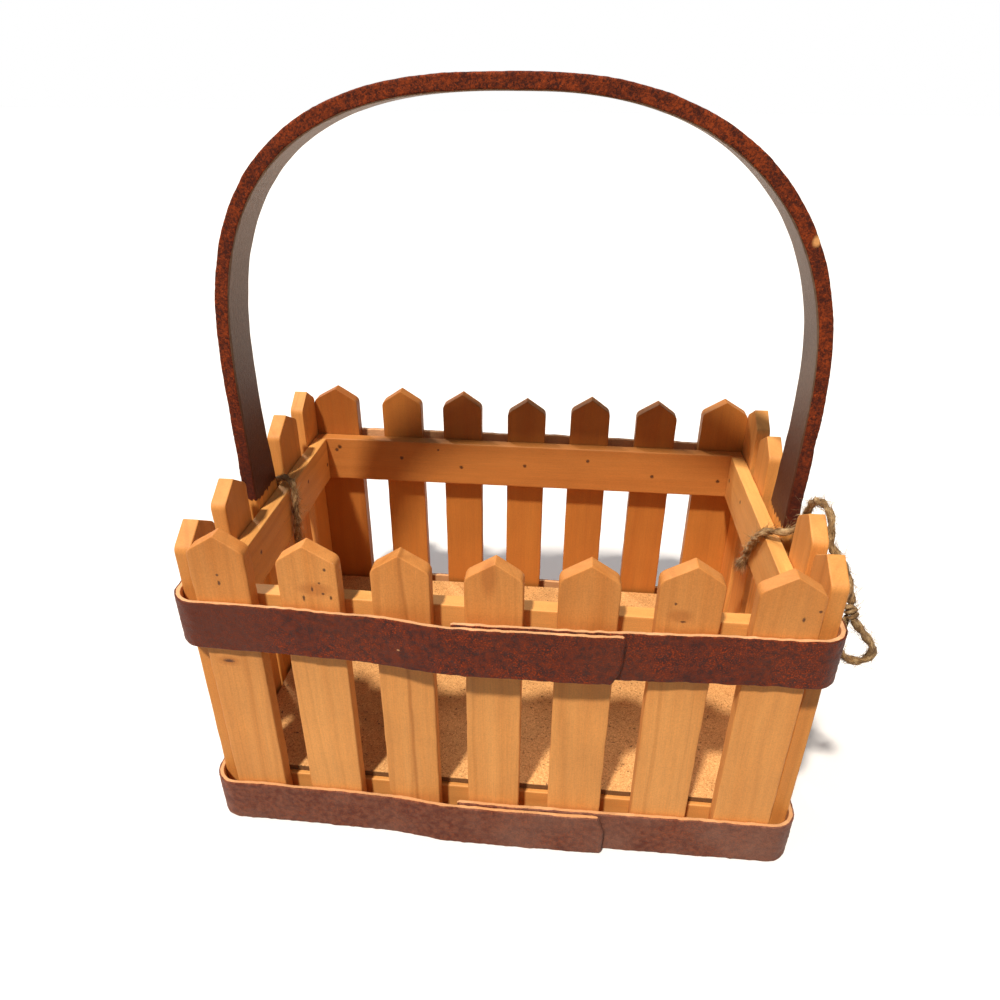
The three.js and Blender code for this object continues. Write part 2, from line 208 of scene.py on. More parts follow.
def make_piece(
    name: str, points: np.ndarray, faces: list, notes: dict[str, np.ndarray], finish: bpy.types.Material,
    node: str | None = None, weld: bool = False,
) -> bpy.types.Object:
    """Puts a surface into a mesh object at the origin, with its normals out, and lets it ride.

    Args:
        name: The piece's name.
        points: The vertices, with three numbers on the last axis.
        faces: Vertex numbers for each face.
        notes: Values that the material reads, one or three numbers a vertex.
        finish: The piece's material.
        node: The CAD node that it stands for, if it does.
        weld: Whether vertices at one place are joined.

    Returns:
        The piece.
    """
    vertices = points.reshape(-1, 3)
    mesh = bpy.data.meshes.new(name)
    mesh.from_pydata(vertices.tolist(), [], faces)
    for key, values in notes.items():
        three = values.size == vertices.size
        kind, value_name = ("FLOAT_VECTOR", "vector") if three else ("FLOAT", "value")
        layer = mesh.attributes.new(key, kind, "POINT")
        layer.data.foreach_set(value_name, values.astype(np.float32).ravel())
    work = bmesh.new()
    work.from_mesh(mesh)
    if weld:
        bmesh.ops.remove_doubles(work, verts=work.verts, dist=WELD)
    if work.calc_volume(signed=True) < 0:
        bmesh.ops.reverse_faces(work, faces=work.faces)
    work.to_mesh(mesh)
    work.free()
    mesh.polygons.foreach_set("use_smooth", [True] * len(mesh.polygons))
    mesh.materials.append(finish)
    piece = bpy.data.objects.new(name, mesh)
    bpy.context.scene.collection.objects.link(piece)
    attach(piece, BODY)
    if node:
        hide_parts(node)
    return piece


def grid_faces(rows: int, columns: int, first: int = 0, ends: bool = True) -> list[list[int]]:
    """Faces of a grid whose columns close into a ring.

    Args:
        rows: Rows of the grid.
        columns: Points in each ring.
        first: The number of the grid's first vertex.
        ends: Whether the first and last rings are filled.

    Returns:
        Vertex numbers for each face.
    """
    ids = first + np.arange(rows * columns).reshape(rows, columns)
    after = np.roll(ids, -1, axis=1)
    faces = np.stack([ids[:-1], after[:-1], after[1:], ids[1:]], axis=-1).reshape(-1, 4).tolist()
    if ends:
        faces += [ids[0][::-1].tolist(), ids[-1].tolist()]
    return faces


@dataclass(frozen=True)
class Section:
    """A rounded rectangle as a ring of points, so that it can be stretched to any size.

    Each point is a corner centre's share of the half sides, plus the corner radius times an
    outward direction. Flats have points close to their ends, which keep their shading flat.
    """

    wide_steps: int
    deep_steps: int
    arc_steps: int
    guard: float

    def ring(self) -> tuple[np.ndarray, np.ndarray]:
        """The ring's shares and outward directions.

        Returns:
            Shares of the half sides, and directions, both as one row of two numbers a point.
        """
        shares, turns = [], []
        corners = [(-1, -1), (1, -1), (1, 1), (-1, 1)]
        for index, corner in enumerate(corners):
            ahead = corners[(index + 1) % 4]
            steps = self.wide_steps if index % 2 == 0 else self.deep_steps
            travel_to = np.concatenate([[0], np.linspace(1 - self.guard, 1 + self.guard, steps + 1) / 2, [1]])
            shares.append(np.array(corner) + travel_to[:, None] * (np.array(ahead) - np.array(corner)))
            turns.append(np.full(len(travel_to), -90.0 + 90 * index))
            inner = np.arange(1, self.arc_steps) / self.arc_steps
            shares.append(np.repeat([ahead], len(inner), axis=0))
            turns.append(-90.0 + 90 * (index + inner))
        angles = np.radians(np.concatenate(turns))
        return np.concatenate(shares), np.stack([np.cos(angles), np.sin(angles)], axis=-1)


@dataclass
class Sweep:
    """A rounded rectangle carried along a line, with its size free to change on the way.

    A point is the line's point, plus the section's share of each half side less the corner
    radius, plus the radius times the outward direction. Width, depth and the line's own
    direction make a right-handed set, so the faces point outwards. Each value but the line
    is one for the whole sweep, or one a point of the line.
    """

    line: np.ndarray
    wide: np.ndarray
    deep: np.ndarray
    half_wide: np.ndarray | float
    half_deep: np.ndarray | float
    radius: np.ndarray | float
    section: Section

    def grid(self) -> tuple[np.ndarray, np.ndarray, np.ndarray]:
        """The surface's points.

        Returns:
            Points and outward directions, as rows by columns by 3, and the section's own
            outward directions, as columns by 2.
        """
        shares, outs = self.section.ring()
        sizes = (self.half_wide, self.half_deep, self.radius)
        half_wide, half_deep, radius = (np.broadcast_to(size, len(self.line))[:, None] for size in sizes)
        wide, deep = (np.broadcast_to(way, self.line.shape)[:, None] for way in (self.wide, self.deep))
        radius = np.minimum(radius, np.minimum(half_wide, half_deep))
        across = shares[:, 0] * (half_wide - radius) + outs[:, 0] * radius
        through = shares[:, 1] * (half_deep - radius) + outs[:, 1] * radius
        points = self.line[:, None, :] + across[..., None] * wide + through[..., None] * deep
        return points, outs[None, :, :1] * wide + outs[None, :, 1:] * deep, outs


def eased_ends(length: float, step: float, radius: float) -> tuple[np.ndarray, np.ndarray]:
    """Stations along a stick whose end edges are rounded.

    Args:
        length: The stick's length.
        step: The usual distance between stations.
        radius: The rounding's radius.

    Returns:
        Stations, and how far the section is pulled in at each: a quarter circle at the ends.
        A guard station beside each rounding keeps the shading of the flat stretch flat.
    """
    angles = np.linspace(0, np.pi / 2, 4)
    head, pulled = radius * (1 - np.cos(angles)), radius * (1 - np.sin(angles))
    count = max(2, math.ceil((length - 2 * radius) / step))
    body = np.linspace(radius, length - radius, count + 1)[1:-1]
    guard = radius + 0.3 * MM
    stations = np.concatenate([head, [guard], body, [length - guard], length - head[::-1]])
    inset = np.concatenate([pulled, np.zeros(len(body) + 2), pulled[::-1]])
    return stations, inset


def log_place(
    points: np.ndarray, wide: np.ndarray, deep: np.ndarray, along: np.ndarray, seed: int
) -> np.ndarray:
    """Where each point of a stick lay in the log that it was sawn from.

    Args:
        points: The stick's points.
        wide: The direction of its width.
        deep: The direction of its depth.
        along: The direction of its grain.
        seed: The seed of the draw, one a stick.

    Returns:
        Across, across and along the log from its heart, in metres: the stick's own
        coordinates, turned and moved by a random amount.
    """
    heart_near, heart_far, off_heart = 28 * MM, 75 * MM, 12 * MM
    draw = np.random.default_rng(seed)
    centre = points.reshape(-1, 3).mean(axis=0)
    x, y, z = ((points - centre) @ axis for axis in (wide, deep, along))
    turn = draw.uniform(0, np.pi)
    a = x * math.cos(turn) - y * math.sin(turn)
    b = x * math.sin(turn) + y * math.cos(turn)
    heart = draw.uniform(heart_near, heart_far)
    lean = draw.uniform(-0.02, 0.02)
    aside = draw.uniform(-off_heart, off_heart)
    return np.stack([a + heart + lean * z, b + aside, z + draw.uniform(-1, 1)], axis=-1)


# Finishes. A pattern's cell is the size of one speck, streak or cloud of its noise.


@dataclass(frozen=True)
class Mark:
    """A spot on wood, such as a knot, a nail hole or a stain: its place and size in millimetres,
    and how far it is drawn out along X, Y and Z."""

    place: tuple[float, float, float]
    size: float = 0.8
    stretch: tuple[float, float, float] = (1.0, 1.0, 1.0)


def spots(
    tree: bpy.types.NodeTree, place: bpy.types.NodeSocket, marks: tuple[Mark, ...], rag: float
) -> bpy.types.NodeSocket:
    """A mask of marks: 1 within each, falling to 0 over a ragged rim.

    Args:
        tree: The material's nodes.
        place: The surface's place.
        marks: The marks.
        rag: How ragged the rim is.

    Returns:
        The mask's output.
    """
    far, rag_cell, rim_wide = 9.0, 0.667 * MM, 0.65
    nearest: object = far
    for mark in marks:
        away = add(tree, "VectorMath", place, tuple(c * MM for c in mark.place), operation="SUBTRACT")
        size = tuple(mark.size * MM * s for s in mark.stretch)
        away = add(tree, "VectorMath", away, size, operation="DIVIDE")
        share = add(tree, "VectorMath", away, operation="LENGTH")
        nearest = add(tree, "Math", share, nearest, operation="MINIMUM")
    torn = add(tree, "TexNoise", Vector=place, Scale=1 / rag_cell, Detail=2.0)
    rim = add(tree, "Math", torn, rag, nearest, operation="MULTIPLY_ADD")
    low = 0.55 + 0.5 * rag
    return add(tree, "MapRange", rim, low, low + rim_wide, 1.0, 0.0)


@dataclass(frozen=True)
class Pine:
    """Bare pine, sawn thin, sanded and ambered by age: soft uneven year bands, pale fibres along
    the grain, a broad drift from straw to amber, and a dry silky gloss."""

    name: str
    straw: str = "#eeac64"
    amber: str = "#cd7f36"
    late: str = "#b06c2f"
    late_share: float = 0.24
    # How much more amber the upper part is made: painted shade, darker towards the top.
    painted_top_shade: float = 0.0
    marks: tuple[Mark, ...] = ()
    mark_colour: str = "#43200a"
    stains: tuple[Mark, ...] = ()
    stain_colour: str = "#b56a2c"
    streaks: tuple[tuple[float, float], ...] = ()
    # The patterns' cells. The last number of three is the cell's length along the grain. Real
    # fibres and pores are too fine to show, so these are drawn as coarse as they need to be.
    year: float = 5 * MM
    bend: tuple[float, float, float] = (33.3 * MM, 33.3 * MM, 143 * MM)
    bend_swing: float = 12 * MM
    fibre: tuple[float, float, float] = (0.4 * MM, 0.4 * MM, 16 * MM)
    drift: tuple[float, float, float] = (7.14 * MM, 7.14 * MM, 111 * MM)
    pore: float = 0.526 * MM
    cloud: float = 38.5 * MM
    streak_swing: float = 6 * MM

    def build(self) -> bpy.types.Material:
        """Builds the material from the "log" and "tone" values of the mesh.

        Returns:
            The finished material.
        """
        material, tree = new_material(self.name)
        log = add(tree, "Attribute", attribute_name="log", out="Vector")
        tone = add(tree, "Attribute", attribute_name="tone", out="Fac")
        place = add(tree, "TexCoord", out="Object")
        # Year bands: a one-way noise of the distance from the heart, bent along the log.
        slow = add(tree, "VectorMath", log, self.bend, operation="DIVIDE")
        bend = add(tree, "TexNoise", Vector=slow, Scale=1.0, Detail=2.0)
        flat = add(tree, "VectorMath", log, (1.0, 1.0, 0.0), operation="MULTIPLY")
        reach = add(tree, "VectorMath", flat, operation="LENGTH")
        bent = add(tree, "Math", bend, self.bend_swing, reach, operation="MULTIPLY_ADD")
        years = add(tree, "Math", bent, self.year, operation="DIVIDE")
        band = add(tree, "TexNoise", W=years, Scale=1.6, Detail=2.0, Roughness=0.5, noise_dimensions="1D")
        late = add(tree, "MapRange", band, 0.45, 0.8, 0.0, self.late_share, interpolation_type="SMOOTHSTEP")
        # Fibres drawn out along the grain, a slow drift, pores and clouds.
        drawn = add(tree, "VectorMath", log, self.fibre, operation="DIVIDE")
        fibre = add(tree, "TexNoise", Vector=drawn, Scale=1.0, Detail=3.0, Roughness=0.6)
        broad = add(tree, "VectorMath", log, self.drift, operation="DIVIDE")
        drift = add(tree, "TexNoise", Vector=broad, Scale=1.0, Detail=3.0)
        pores = add(tree, "TexNoise", Vector=place, Scale=1 / self.pore, Detail=2.0)
        cloud = add(tree, "TexNoise", Vector=place, Scale=1 / self.cloud, Detail=3.0)
        # Colour: from straw to amber by the drift, the stick's own tone and the height; the height's part is
        # painted shade, more amber towards the top.
        warm = add(tree, "MapRange", drift, 0.3, 0.7, -0.1, 0.25)
        height_above = add(tree, "SeparateXYZ", place, out="Z")
        top_shade_share = add(tree, "MapRange", height_above, 80 * MM, 150 * MM, 0.0, self.painted_top_shade)
        warm = add(tree, "Math", warm, tone, operation="ADD")
        warm = add(tree, "Math", warm, top_shade_share, operation="ADD", use_clamp=True)
        colour = add(tree, "Mix", warm, linear(self.straw), linear(self.amber), data_type="RGBA")
        colour = add(tree, "Mix", late, colour, linear(self.late), data_type="RGBA")
        if self.streaks:
            streak = self._streaks(tree, place, cloud)
            colour = add(tree, "Mix", streak, colour, linear(self.late), data_type="RGBA")
        if self.stains:
            stain = add(tree, "Math", spots(tree, place, self.stains, 0.3), 0.55, operation="MULTIPLY")
            colour = add(tree, "Mix", stain, colour, linear(self.stain_colour), data_type="RGBA")
        fine = add(tree, "MapRange", fibre, 0.25, 0.75, 0.9, 1.08)
        soft = add(tree, "MapRange", cloud, 0.3, 0.7, 0.92, 1.06)
        speck = add(tree, "MapRange", pores, 0.3, 0.62, 0.9, 1.04)
        shade = add(tree, "Math", fine, soft, operation="MULTIPLY")
        shade = add(tree, "Math", shade, speck, operation="MULTIPLY")
        colour = add(tree, "VectorMath", colour, shade, operation="SCALE")
        height = add(tree, "Math", pores, 0.5, fibre, operation="MULTIPLY_ADD")
        if self.marks:
            spot = add(tree, "Math", spots(tree, place, self.marks, 1.0), 0.9, operation="MULTIPLY")
            colour = add(tree, "Mix", spot, colour, linear(self.mark_colour), data_type="RGBA")
            height = add(tree, "Math", spot, -2.5, height, operation="MULTIPLY_ADD")
        gloss = add(tree, "MapRange", fibre, 0.2, 0.8, 0.5, 0.7)
        bump = add(tree, "Bump", Height=height, Strength=0.3, Distance=0.1 * MM)
        skin = add(tree, "BsdfPrincipled", colour, Roughness=gloss, IOR=1.5, Normal=bump)
        add(tree, "OutputMaterial", skin)
        return material

    def _streaks(
        self, tree: bpy.types.NodeTree, place: bpy.types.NodeSocket, cloud: bpy.types.NodeSocket
    ) -> bpy.types.NodeSocket:
        """A mask of dark heartwood streaks that stand upright, each at its own X.

        Args:
            tree: The material's nodes.
            place: The surface's place.
            cloud: A slow noise that bends them.

        Returns:
            The mask's output.
        """
        x = add(tree, "SeparateXYZ", place, out="X")
        bent = add(tree, "Math", cloud, self.streak_swing, x, operation="MULTIPLY_ADD")
        whole: object = 0.0
        for at, half in self.streaks:
            away = add(tree, "Math", bent, at + self.streak_swing / 2, operation="SUBTRACT")
            away = add(tree, "Math", away, operation="ABSOLUTE")
            share = add(tree, "MapRange", away, 0.2 * half, half, 0.6, 0.0)
            whole = add(tree, "Math", share, whole, operation="MAXIMUM")
        return whole


@dataclass(frozen=True)
class PressedBoard:
    """Pressed wood-fibre board: short matted fibres from tan to brown with dark flecks, darker
    and layered on its sawn edges, and no gloss."""

    name: str = "pressed fibre board"
    pale: str = "#f2bf7e"
    brown: str = "#ad7741"
    fleck: str = "#4a2c12"
    edge: str = "#5d3c20"
    # Real fibres are about 0.1 mm thick, too fine to show, so they are drawn coarser.
    fibre_cell: float = 0.8 * MM
    fleck_cell: float = 1.6 * MM
    cloud_cell: float = 25 * MM

    def build(self) -> bpy.types.Material:
        """Builds the material from the "edge" values of the mesh and the place in the frame.

        Returns:
            The finished material.
        """
        material, tree = new_material(self.name)
        place = add(tree, "TexCoord", out="Object")
        edge = add(tree, "Attribute", attribute_name="edge", out="Fac")
        matted = add(
            tree, "TexNoise", Vector=place, Scale=1 / self.fibre_cell, Detail=4.0, Roughness=0.7,
            Distortion=1.2,
        )
        flecks = add(tree, "TexNoise", Vector=place, Scale=1 / self.fleck_cell, Detail=3.0)
        cloud = add(tree, "TexNoise", Vector=place, Scale=1 / self.cloud_cell, Detail=4.0)
        grain = add(tree, "MapRange", matted, 0.36, 0.64, 0.0, 1.0)
        colour = add(tree, "Mix", grain, linear(self.brown), linear(self.pale), data_type="RGBA")
        dark = add(tree, "MapRange", flecks, 0.36, 0.27, 0.0, 0.85)
        colour = add(tree, "Mix", dark, colour, linear(self.fleck), data_type="RGBA")
        soft = add(tree, "MapRange", cloud, 0.3, 0.7, 0.82, 1.1)
        colour = add(tree, "VectorMath", colour, soft, operation="SCALE")
        sawn = add(tree, "Math", edge, 0.85, operation="MULTIPLY")
        colour = add(tree, "Mix", sawn, colour, linear(self.edge), data_type="RGBA")
        bump = add(tree, "Bump", Height=matted, Strength=0.6, Distance=0.25 * MM)
        skin = add(tree, "BsdfPrincipled", colour, Roughness=0.86, Normal=bump)
        add(tree, "OutputMaterial", skin)
        return material


@dataclass(frozen=True)
class BarkStrip:
    """A split strip with its bark on: scurfy dark red-brown cork with orange-red grains where it
    has rubbed, a grey bloom in patches, and bare wood on its cut edges and in its chips."""

    name: str
    dark: str = "#3b1006"
    brown: str = "#66250d"
    orange: str = "#c04c18"
    bloom: str = "#74402a"
    plum: str = "#5f2c1c"
    raw: str = "#e3b082"
    bloom_share: float = 0.2
    orange_share: float = 0.7
    chips: tuple[Mark, ...] = ()
    grain_cell: float = 0.65 * MM
    flake_cell: float = 2.6 * MM
    patch_cell: float = 18.2 * MM
    bloom_cell: float = 41.7 * MM

    def build(self) -> bpy.types.Material:
        """Builds the material from the "raw" and "plain" values of the mesh.

        Returns:
            The finished material. "plain" says where the bark is plum and little rubbed.
        """
        material, tree = new_material(self.name)
        place = add(tree, "TexCoord", out="Object")
        raw = add(tree, "Attribute", attribute_name="raw", out="Fac")
        plain = add(tree, "Attribute", attribute_name="plain", out="Fac")
        grain = add(tree, "TexNoise", Vector=place, Scale=1 / self.grain_cell, Detail=3.0, Roughness=0.75)
        flake = add(tree, "TexNoise", Vector=place, Scale=1 / self.flake_cell, Detail=5.0)
        patch = add(tree, "TexNoise", Vector=place, Scale=1 / self.patch_cell, Detail=3.0, Distortion=0.3)
        haze = add(tree, "TexNoise", Vector=place, Scale=1 / self.bloom_cell, Detail=3.0)
        scurf = add(tree, "MapRange", flake, 0.36, 0.62, 0.0, 1.0)
        colour = add(tree, "Mix", scurf, linear(self.dark), linear(self.brown), data_type="RGBA")
        dull = add(tree, "Math", plain, 0.75, operation="MULTIPLY")
        colour = add(tree, "Mix", dull, colour, linear(self.plum), data_type="RGBA")
        grey = add(tree, "MapRange", haze, 0.45, 0.68, 0.0, self.bloom_share)
        colour = add(tree, "Mix", grey, colour, linear(self.bloom), data_type="RGBA")
        # Rubbed grains, thick in patches and rare where the bark is plain.
        rubbed = add(tree, "MapRange", patch, 0.38, 0.64, 0.12, 1.0)
        worn = add(tree, "MapRange", plain, 0.0, 1.0, 1.0, 0.3)
        grains = add(tree, "MapRange", grain, 0.52, 0.66, 0.0, self.orange_share)
        glow = add(tree, "Math", rubbed, grains, operation="MULTIPLY")
        glow = add(tree, "Math", glow, worn, operation="MULTIPLY")
        colour = add(tree, "Mix", glow, colour, linear(self.orange), data_type="RGBA")
        fine = add(tree, "MapRange", grain, 0.3, 0.6, 0.68, 1.15)
        colour = add(tree, "VectorMath", colour, fine, operation="SCALE")
        # Bare wood.
        rag = add(tree, "Math", flake, 0.8, raw, operation="MULTIPLY_ADD")
        bare = add(tree, "MapRange", rag, 0.82, 1.02, 0.0, 1.0)
        if self.chips:
            bare = add(tree, "Math", bare, spots(tree, place, self.chips, 1.0), operation="MAXIMUM")
        light = add(tree, "MapRange", grain, 0.3, 0.6, 0.86, 1.06)
        wood = add(tree, "VectorMath", linear(self.raw)[:3], light, operation="SCALE")
        colour = add(tree, "Mix", bare, colour, wood, data_type="RGBA")
        gloss = add(tree, "MapRange", grain, 0.3, 0.7, 0.45, 0.72)
        height = add(tree, "Math", flake, 1.2, grain, operation="MULTIPLY_ADD")
        bump = add(tree, "Bump", Height=height, Strength=0.8, Distance=0.3 * MM)
        skin = add(
            tree, "BsdfPrincipled", colour, Roughness=gloss, Normal=bump, **{"Specular IOR Level": 0.28}
        )
        add(tree, "OutputMaterial", skin)
        return material


@dataclass(frozen=True)
class HoopBark:
    """A bent strip: felted red-brown bark on its back and edges with short rusty strokes across
    it, a smooth grey-brown inner face, and bare wood where the tongues were shaved."""

    name: str = "bark-covered bent strip"
    rust: str = "#ae4a1a"
    dark: str = "#40150a"
    inner_top: str = "#98836f"
    inner: str = "#735a46"
    inner_low: str = "#54281a"
    raw: str = "#e59f4f"
    chip_wood: str = "#f0b070"
    chips: tuple[Mark, ...] = (Mark((111.7, -11.4, 252.8), 1.7, (1.0, 1.0, 1.3)),)
    # Cells along X, Y and Z. The strip is as wide as Y, and its tongues' grain runs down Z.
    stroke: tuple[float, float, float] = (0.952 * MM, 1.33 * MM, 0.952 * MM)
    torn_tip: tuple[float, float, float] = (3.03 * MM, 3.03 * MM, 14.3 * MM)
    bare_grain: tuple[float, float, float] = (2.08 * MM, 2.08 * MM, 50 * MM)
    lump_cell: float = 5.88 * MM
    # Cells along and across the strip.
    inner_pore: tuple[float, float, float] = (2.38 * MM, 1.11 * MM, 1.11 * MM)

    def build(self) -> bpy.types.Material:
        """Builds the material from the "inner", "bare" and "along" values of the mesh.

        Returns:
            The finished material.
        """
        material, tree = new_material(self.name)
        place = add(tree, "TexCoord", out="Object")
        inner = add(tree, "Attribute", attribute_name="inner", out="Fac")
        bare = add(tree, "Attribute", attribute_name="bare", out="Fac")
        along = add(tree, "Attribute", attribute_name="along", out="Vector")
        # Rusty strokes, fewer near the rails.
        stroke = add(tree, "VectorMath", place, self.stroke, operation="DIVIDE")
        felt = add(tree, "TexNoise", Vector=stroke, Scale=1.0, Detail=4.0, Roughness=0.75, Distortion=0.8)
        lump = add(tree, "TexNoise", Vector=place, Scale=1 / self.lump_cell, Detail=5.0, Roughness=0.65)
        mix = add(tree, "Math", lump, 0.45, felt, operation="MULTIPLY_ADD")
        rusty = add(tree, "MapRange", mix, 0.64, 0.94, 0.0, 1.0)
        height_above = add(tree, "SeparateXYZ", place, out="Z")
        rust_left = add(tree, "MapRange", height_above, 145 * MM, 185 * MM, 0.3, 1.0)
        rusty = add(tree, "Math", rusty, rust_left, operation="MULTIPLY")
        colour = add(tree, "Mix", rusty, linear(self.dark), linear(self.rust), data_type="RGBA")
        # The inner face: fine pores along the strip, and darker and redder near the rails.
        fine = add(tree, "VectorMath", along, self.inner_pore, operation="DIVIDE")
        pores = add(tree, "TexNoise", Vector=fine, Scale=1.0, Detail=4.0, Roughness=0.75)
        high = add(tree, "MapRange", height_above, 190 * MM, 280 * MM, 0.0, 1.0)
        low = add(tree, "MapRange", height_above, 200 * MM, 145 * MM, 0.0, 1.0)
        smooth = add(tree, "Mix", high, linear(self.inner), linear(self.inner_top), data_type="RGBA")
        smooth = add(tree, "Mix", low, smooth, linear(self.inner_low), data_type="RGBA")
        mottled = add(tree, "MapRange", pores, 0.35, 0.65, 0.72, 1.15)
        smooth = add(tree, "VectorMath", smooth, mottled, operation="SCALE")
        rim = add(tree, "Math", lump, 0.5, inner, operation="MULTIPLY_ADD")
        inside = add(tree, "MapRange", rim, 0.7, 0.85, 0.0, 1.0)
        colour = add(tree, "Mix", inside, colour, smooth, data_type="RGBA")
        # Bare wood: the tongues, streaked down their grain under torn tips of bark.
        spikes = add(tree, "VectorMath", place, self.torn_tip, operation="DIVIDE")
        tips = add(tree, "TexNoise", Vector=spikes, Scale=1.0, Detail=2.0)
        torn = add(tree, "Math", tips, 1.5, bare, operation="MULTIPLY_ADD")
        shaved = add(tree, "MapRange", torn, 1.2, 1.28, 0.0, 1.0)
        down = add(tree, "VectorMath", place, self.bare_grain, operation="DIVIDE")
        grain = add(tree, "TexNoise", Vector=down, Scale=1.0, Detail=4.0, Roughness=0.7)
        streaky = add(tree, "MapRange", grain, 0.3, 0.7, 0.72, 1.1)
        wood = add(tree, "VectorMath", linear(self.raw)[:3], streaky, operation="SCALE")
        colour = add(tree, "Mix", shaved, colour, wood, data_type="RGBA")
        chip = spots(tree, place, self.chips, 0.4)
        colour = add(tree, "Mix", chip, colour, linear(self.chip_wood), data_type="RGBA")
        gloss = add(tree, "Mix", inside, 0.82, 0.5, data_type="FLOAT")
        rough = add(tree, "Mix", inside, mix, pores, data_type="FLOAT")
        rough = add(tree, "Mix", shaved, rough, grain, data_type="FLOAT")
        bump = add(tree, "Bump", Height=rough, Strength=0.7, Distance=0.4 * MM)
        skin = add(
            tree, "BsdfPrincipled", colour, Roughness=gloss, Normal=bump, **{"Specular IOR Level": 0.3}
        )
        add(tree, "OutputMaterial", skin)
        return material


@dataclass(frozen=True)
class Jute:
    """Two-ply jute twine: dry golden-brown bast fibres, matt, from dark to pale by noise; the pale
    is partly painted highlight and the dark partly painted shade in the gaps between them."""

    name: str = "jute bast fibre"
    pale: str = "#f0d6a6"
    mid: str = "#977040"
    dark: str = "#38220e"
    # Real bast fibres are too fine to show, so a ply is drawn with fewer and thicker ones.
    fibre_length: float = 5.88 * MM
    fibres_per_turn: float = 15.0
    cloud_cell: float = 4.76 * MM

    def build(self) -> bpy.types.Material:
        """Builds the material from the "strand" values of the mesh.

        Returns:
            The finished material. "strand" holds metres along the ply, turns round it, and a
            number of the ply's own, which keeps the plies' patterns apart.
        """
        material, tree = new_material(self.name)
        strand = add(tree, "Attribute", attribute_name="strand", out="Vector")
        place = add(tree, "TexCoord", out="Object")
        cells = (1 / self.fibre_length, self.fibres_per_turn, 1.0)
        drawn = add(tree, "VectorMath", strand, cells, operation="MULTIPLY")
        fibres = add(tree, "TexNoise", Vector=drawn, Scale=1.0, Detail=3.0, Roughness=0.7)
        cloud = add(tree, "TexNoise", Vector=place, Scale=1 / self.cloud_cell, Detail=2.0)
        both = add(tree, "Math", cloud, 0.5, fibres, operation="MULTIPLY_ADD")
        # Dark, mid and pale by noise: the fibres' own tone, with the dark partly painted shade between fibres
        # and the pale partly painted highlight.
        low = add(tree, "MapRange", both, 0.6, 0.76, 0.0, 1.0)
        high = add(tree, "MapRange", both, 0.76, 0.92, 0.0, 1.0)
        colour = add(tree, "Mix", low, linear(self.dark), linear(self.mid), data_type="RGBA")
        colour = add(tree, "Mix", high, colour, linear(self.pale), data_type="RGBA")
        bump = add(tree, "Bump", Height=fibres, Strength=1.0, Distance=0.25 * MM)
        skin = add(tree, "BsdfPrincipled", colour, Roughness=0.85, Normal=bump, **{"Sheen Weight": 0.1})
        add(tree, "OutputMaterial", skin)
        return material


@dataclass(frozen=True)
class BradSteel:
    """Drawn steel wire, dulled: a grey metal with specks of rust."""

    name: str = "drawn steel wire"
    metal: str = "#7c7872"
    rust: str = "#4a2c18"
    speck_cell: float = 0.417 * MM

    def build(self) -> bpy.types.Material:
        """Builds the material on the place in the frame.

        Returns:
            The finished material.
        """
        material, tree = new_material(self.name)
        place = add(tree, "TexCoord", out="Object")
        specks = add(tree, "TexNoise", Vector=place, Scale=1 / self.speck_cell, Detail=3.0)
        old = add(tree, "MapRange", specks, 0.45, 0.65, 0.0, 0.8)
        colour = add(tree, "Mix", old, linear(self.metal), linear(self.rust), data_type="RGBA")
        gloss = add(tree, "MapRange", specks, 0.3, 0.7, 0.35, 0.7)
        skin = add(tree, "BsdfPrincipled", colour, Metallic=0.85, Roughness=gloss)
        add(tree, "OutputMaterial", skin)
        return material


# Sub-assemblies.


class Side(Enum):
    """A side of the basket."""

    FRONT = "front"
    BACK = "back"
    LEFT = "left"
    RIGHT = "right"

    @property
    def long(self) -> bool:
        """Whether the side runs along X."""
        return self in (Side.FRONT, Side.BACK)

    @property
    def numbers(self) -> range:
        """The numbers of the side's pickets, and of their brads."""
        return range(1, 8 if self.long else 5)


def stick_axes(side: Side) -> tuple[np.ndarray, np.ndarray]:
    """Width and depth of an upright stick on a side, which with +Z make a right-handed set."""
    if side.long:
        return np.array([1.0, 0, 0]), np.array([0, 1.0, 0])
    return np.array([0, 1.0, 0]), np.array([-1.0, 0, 0])


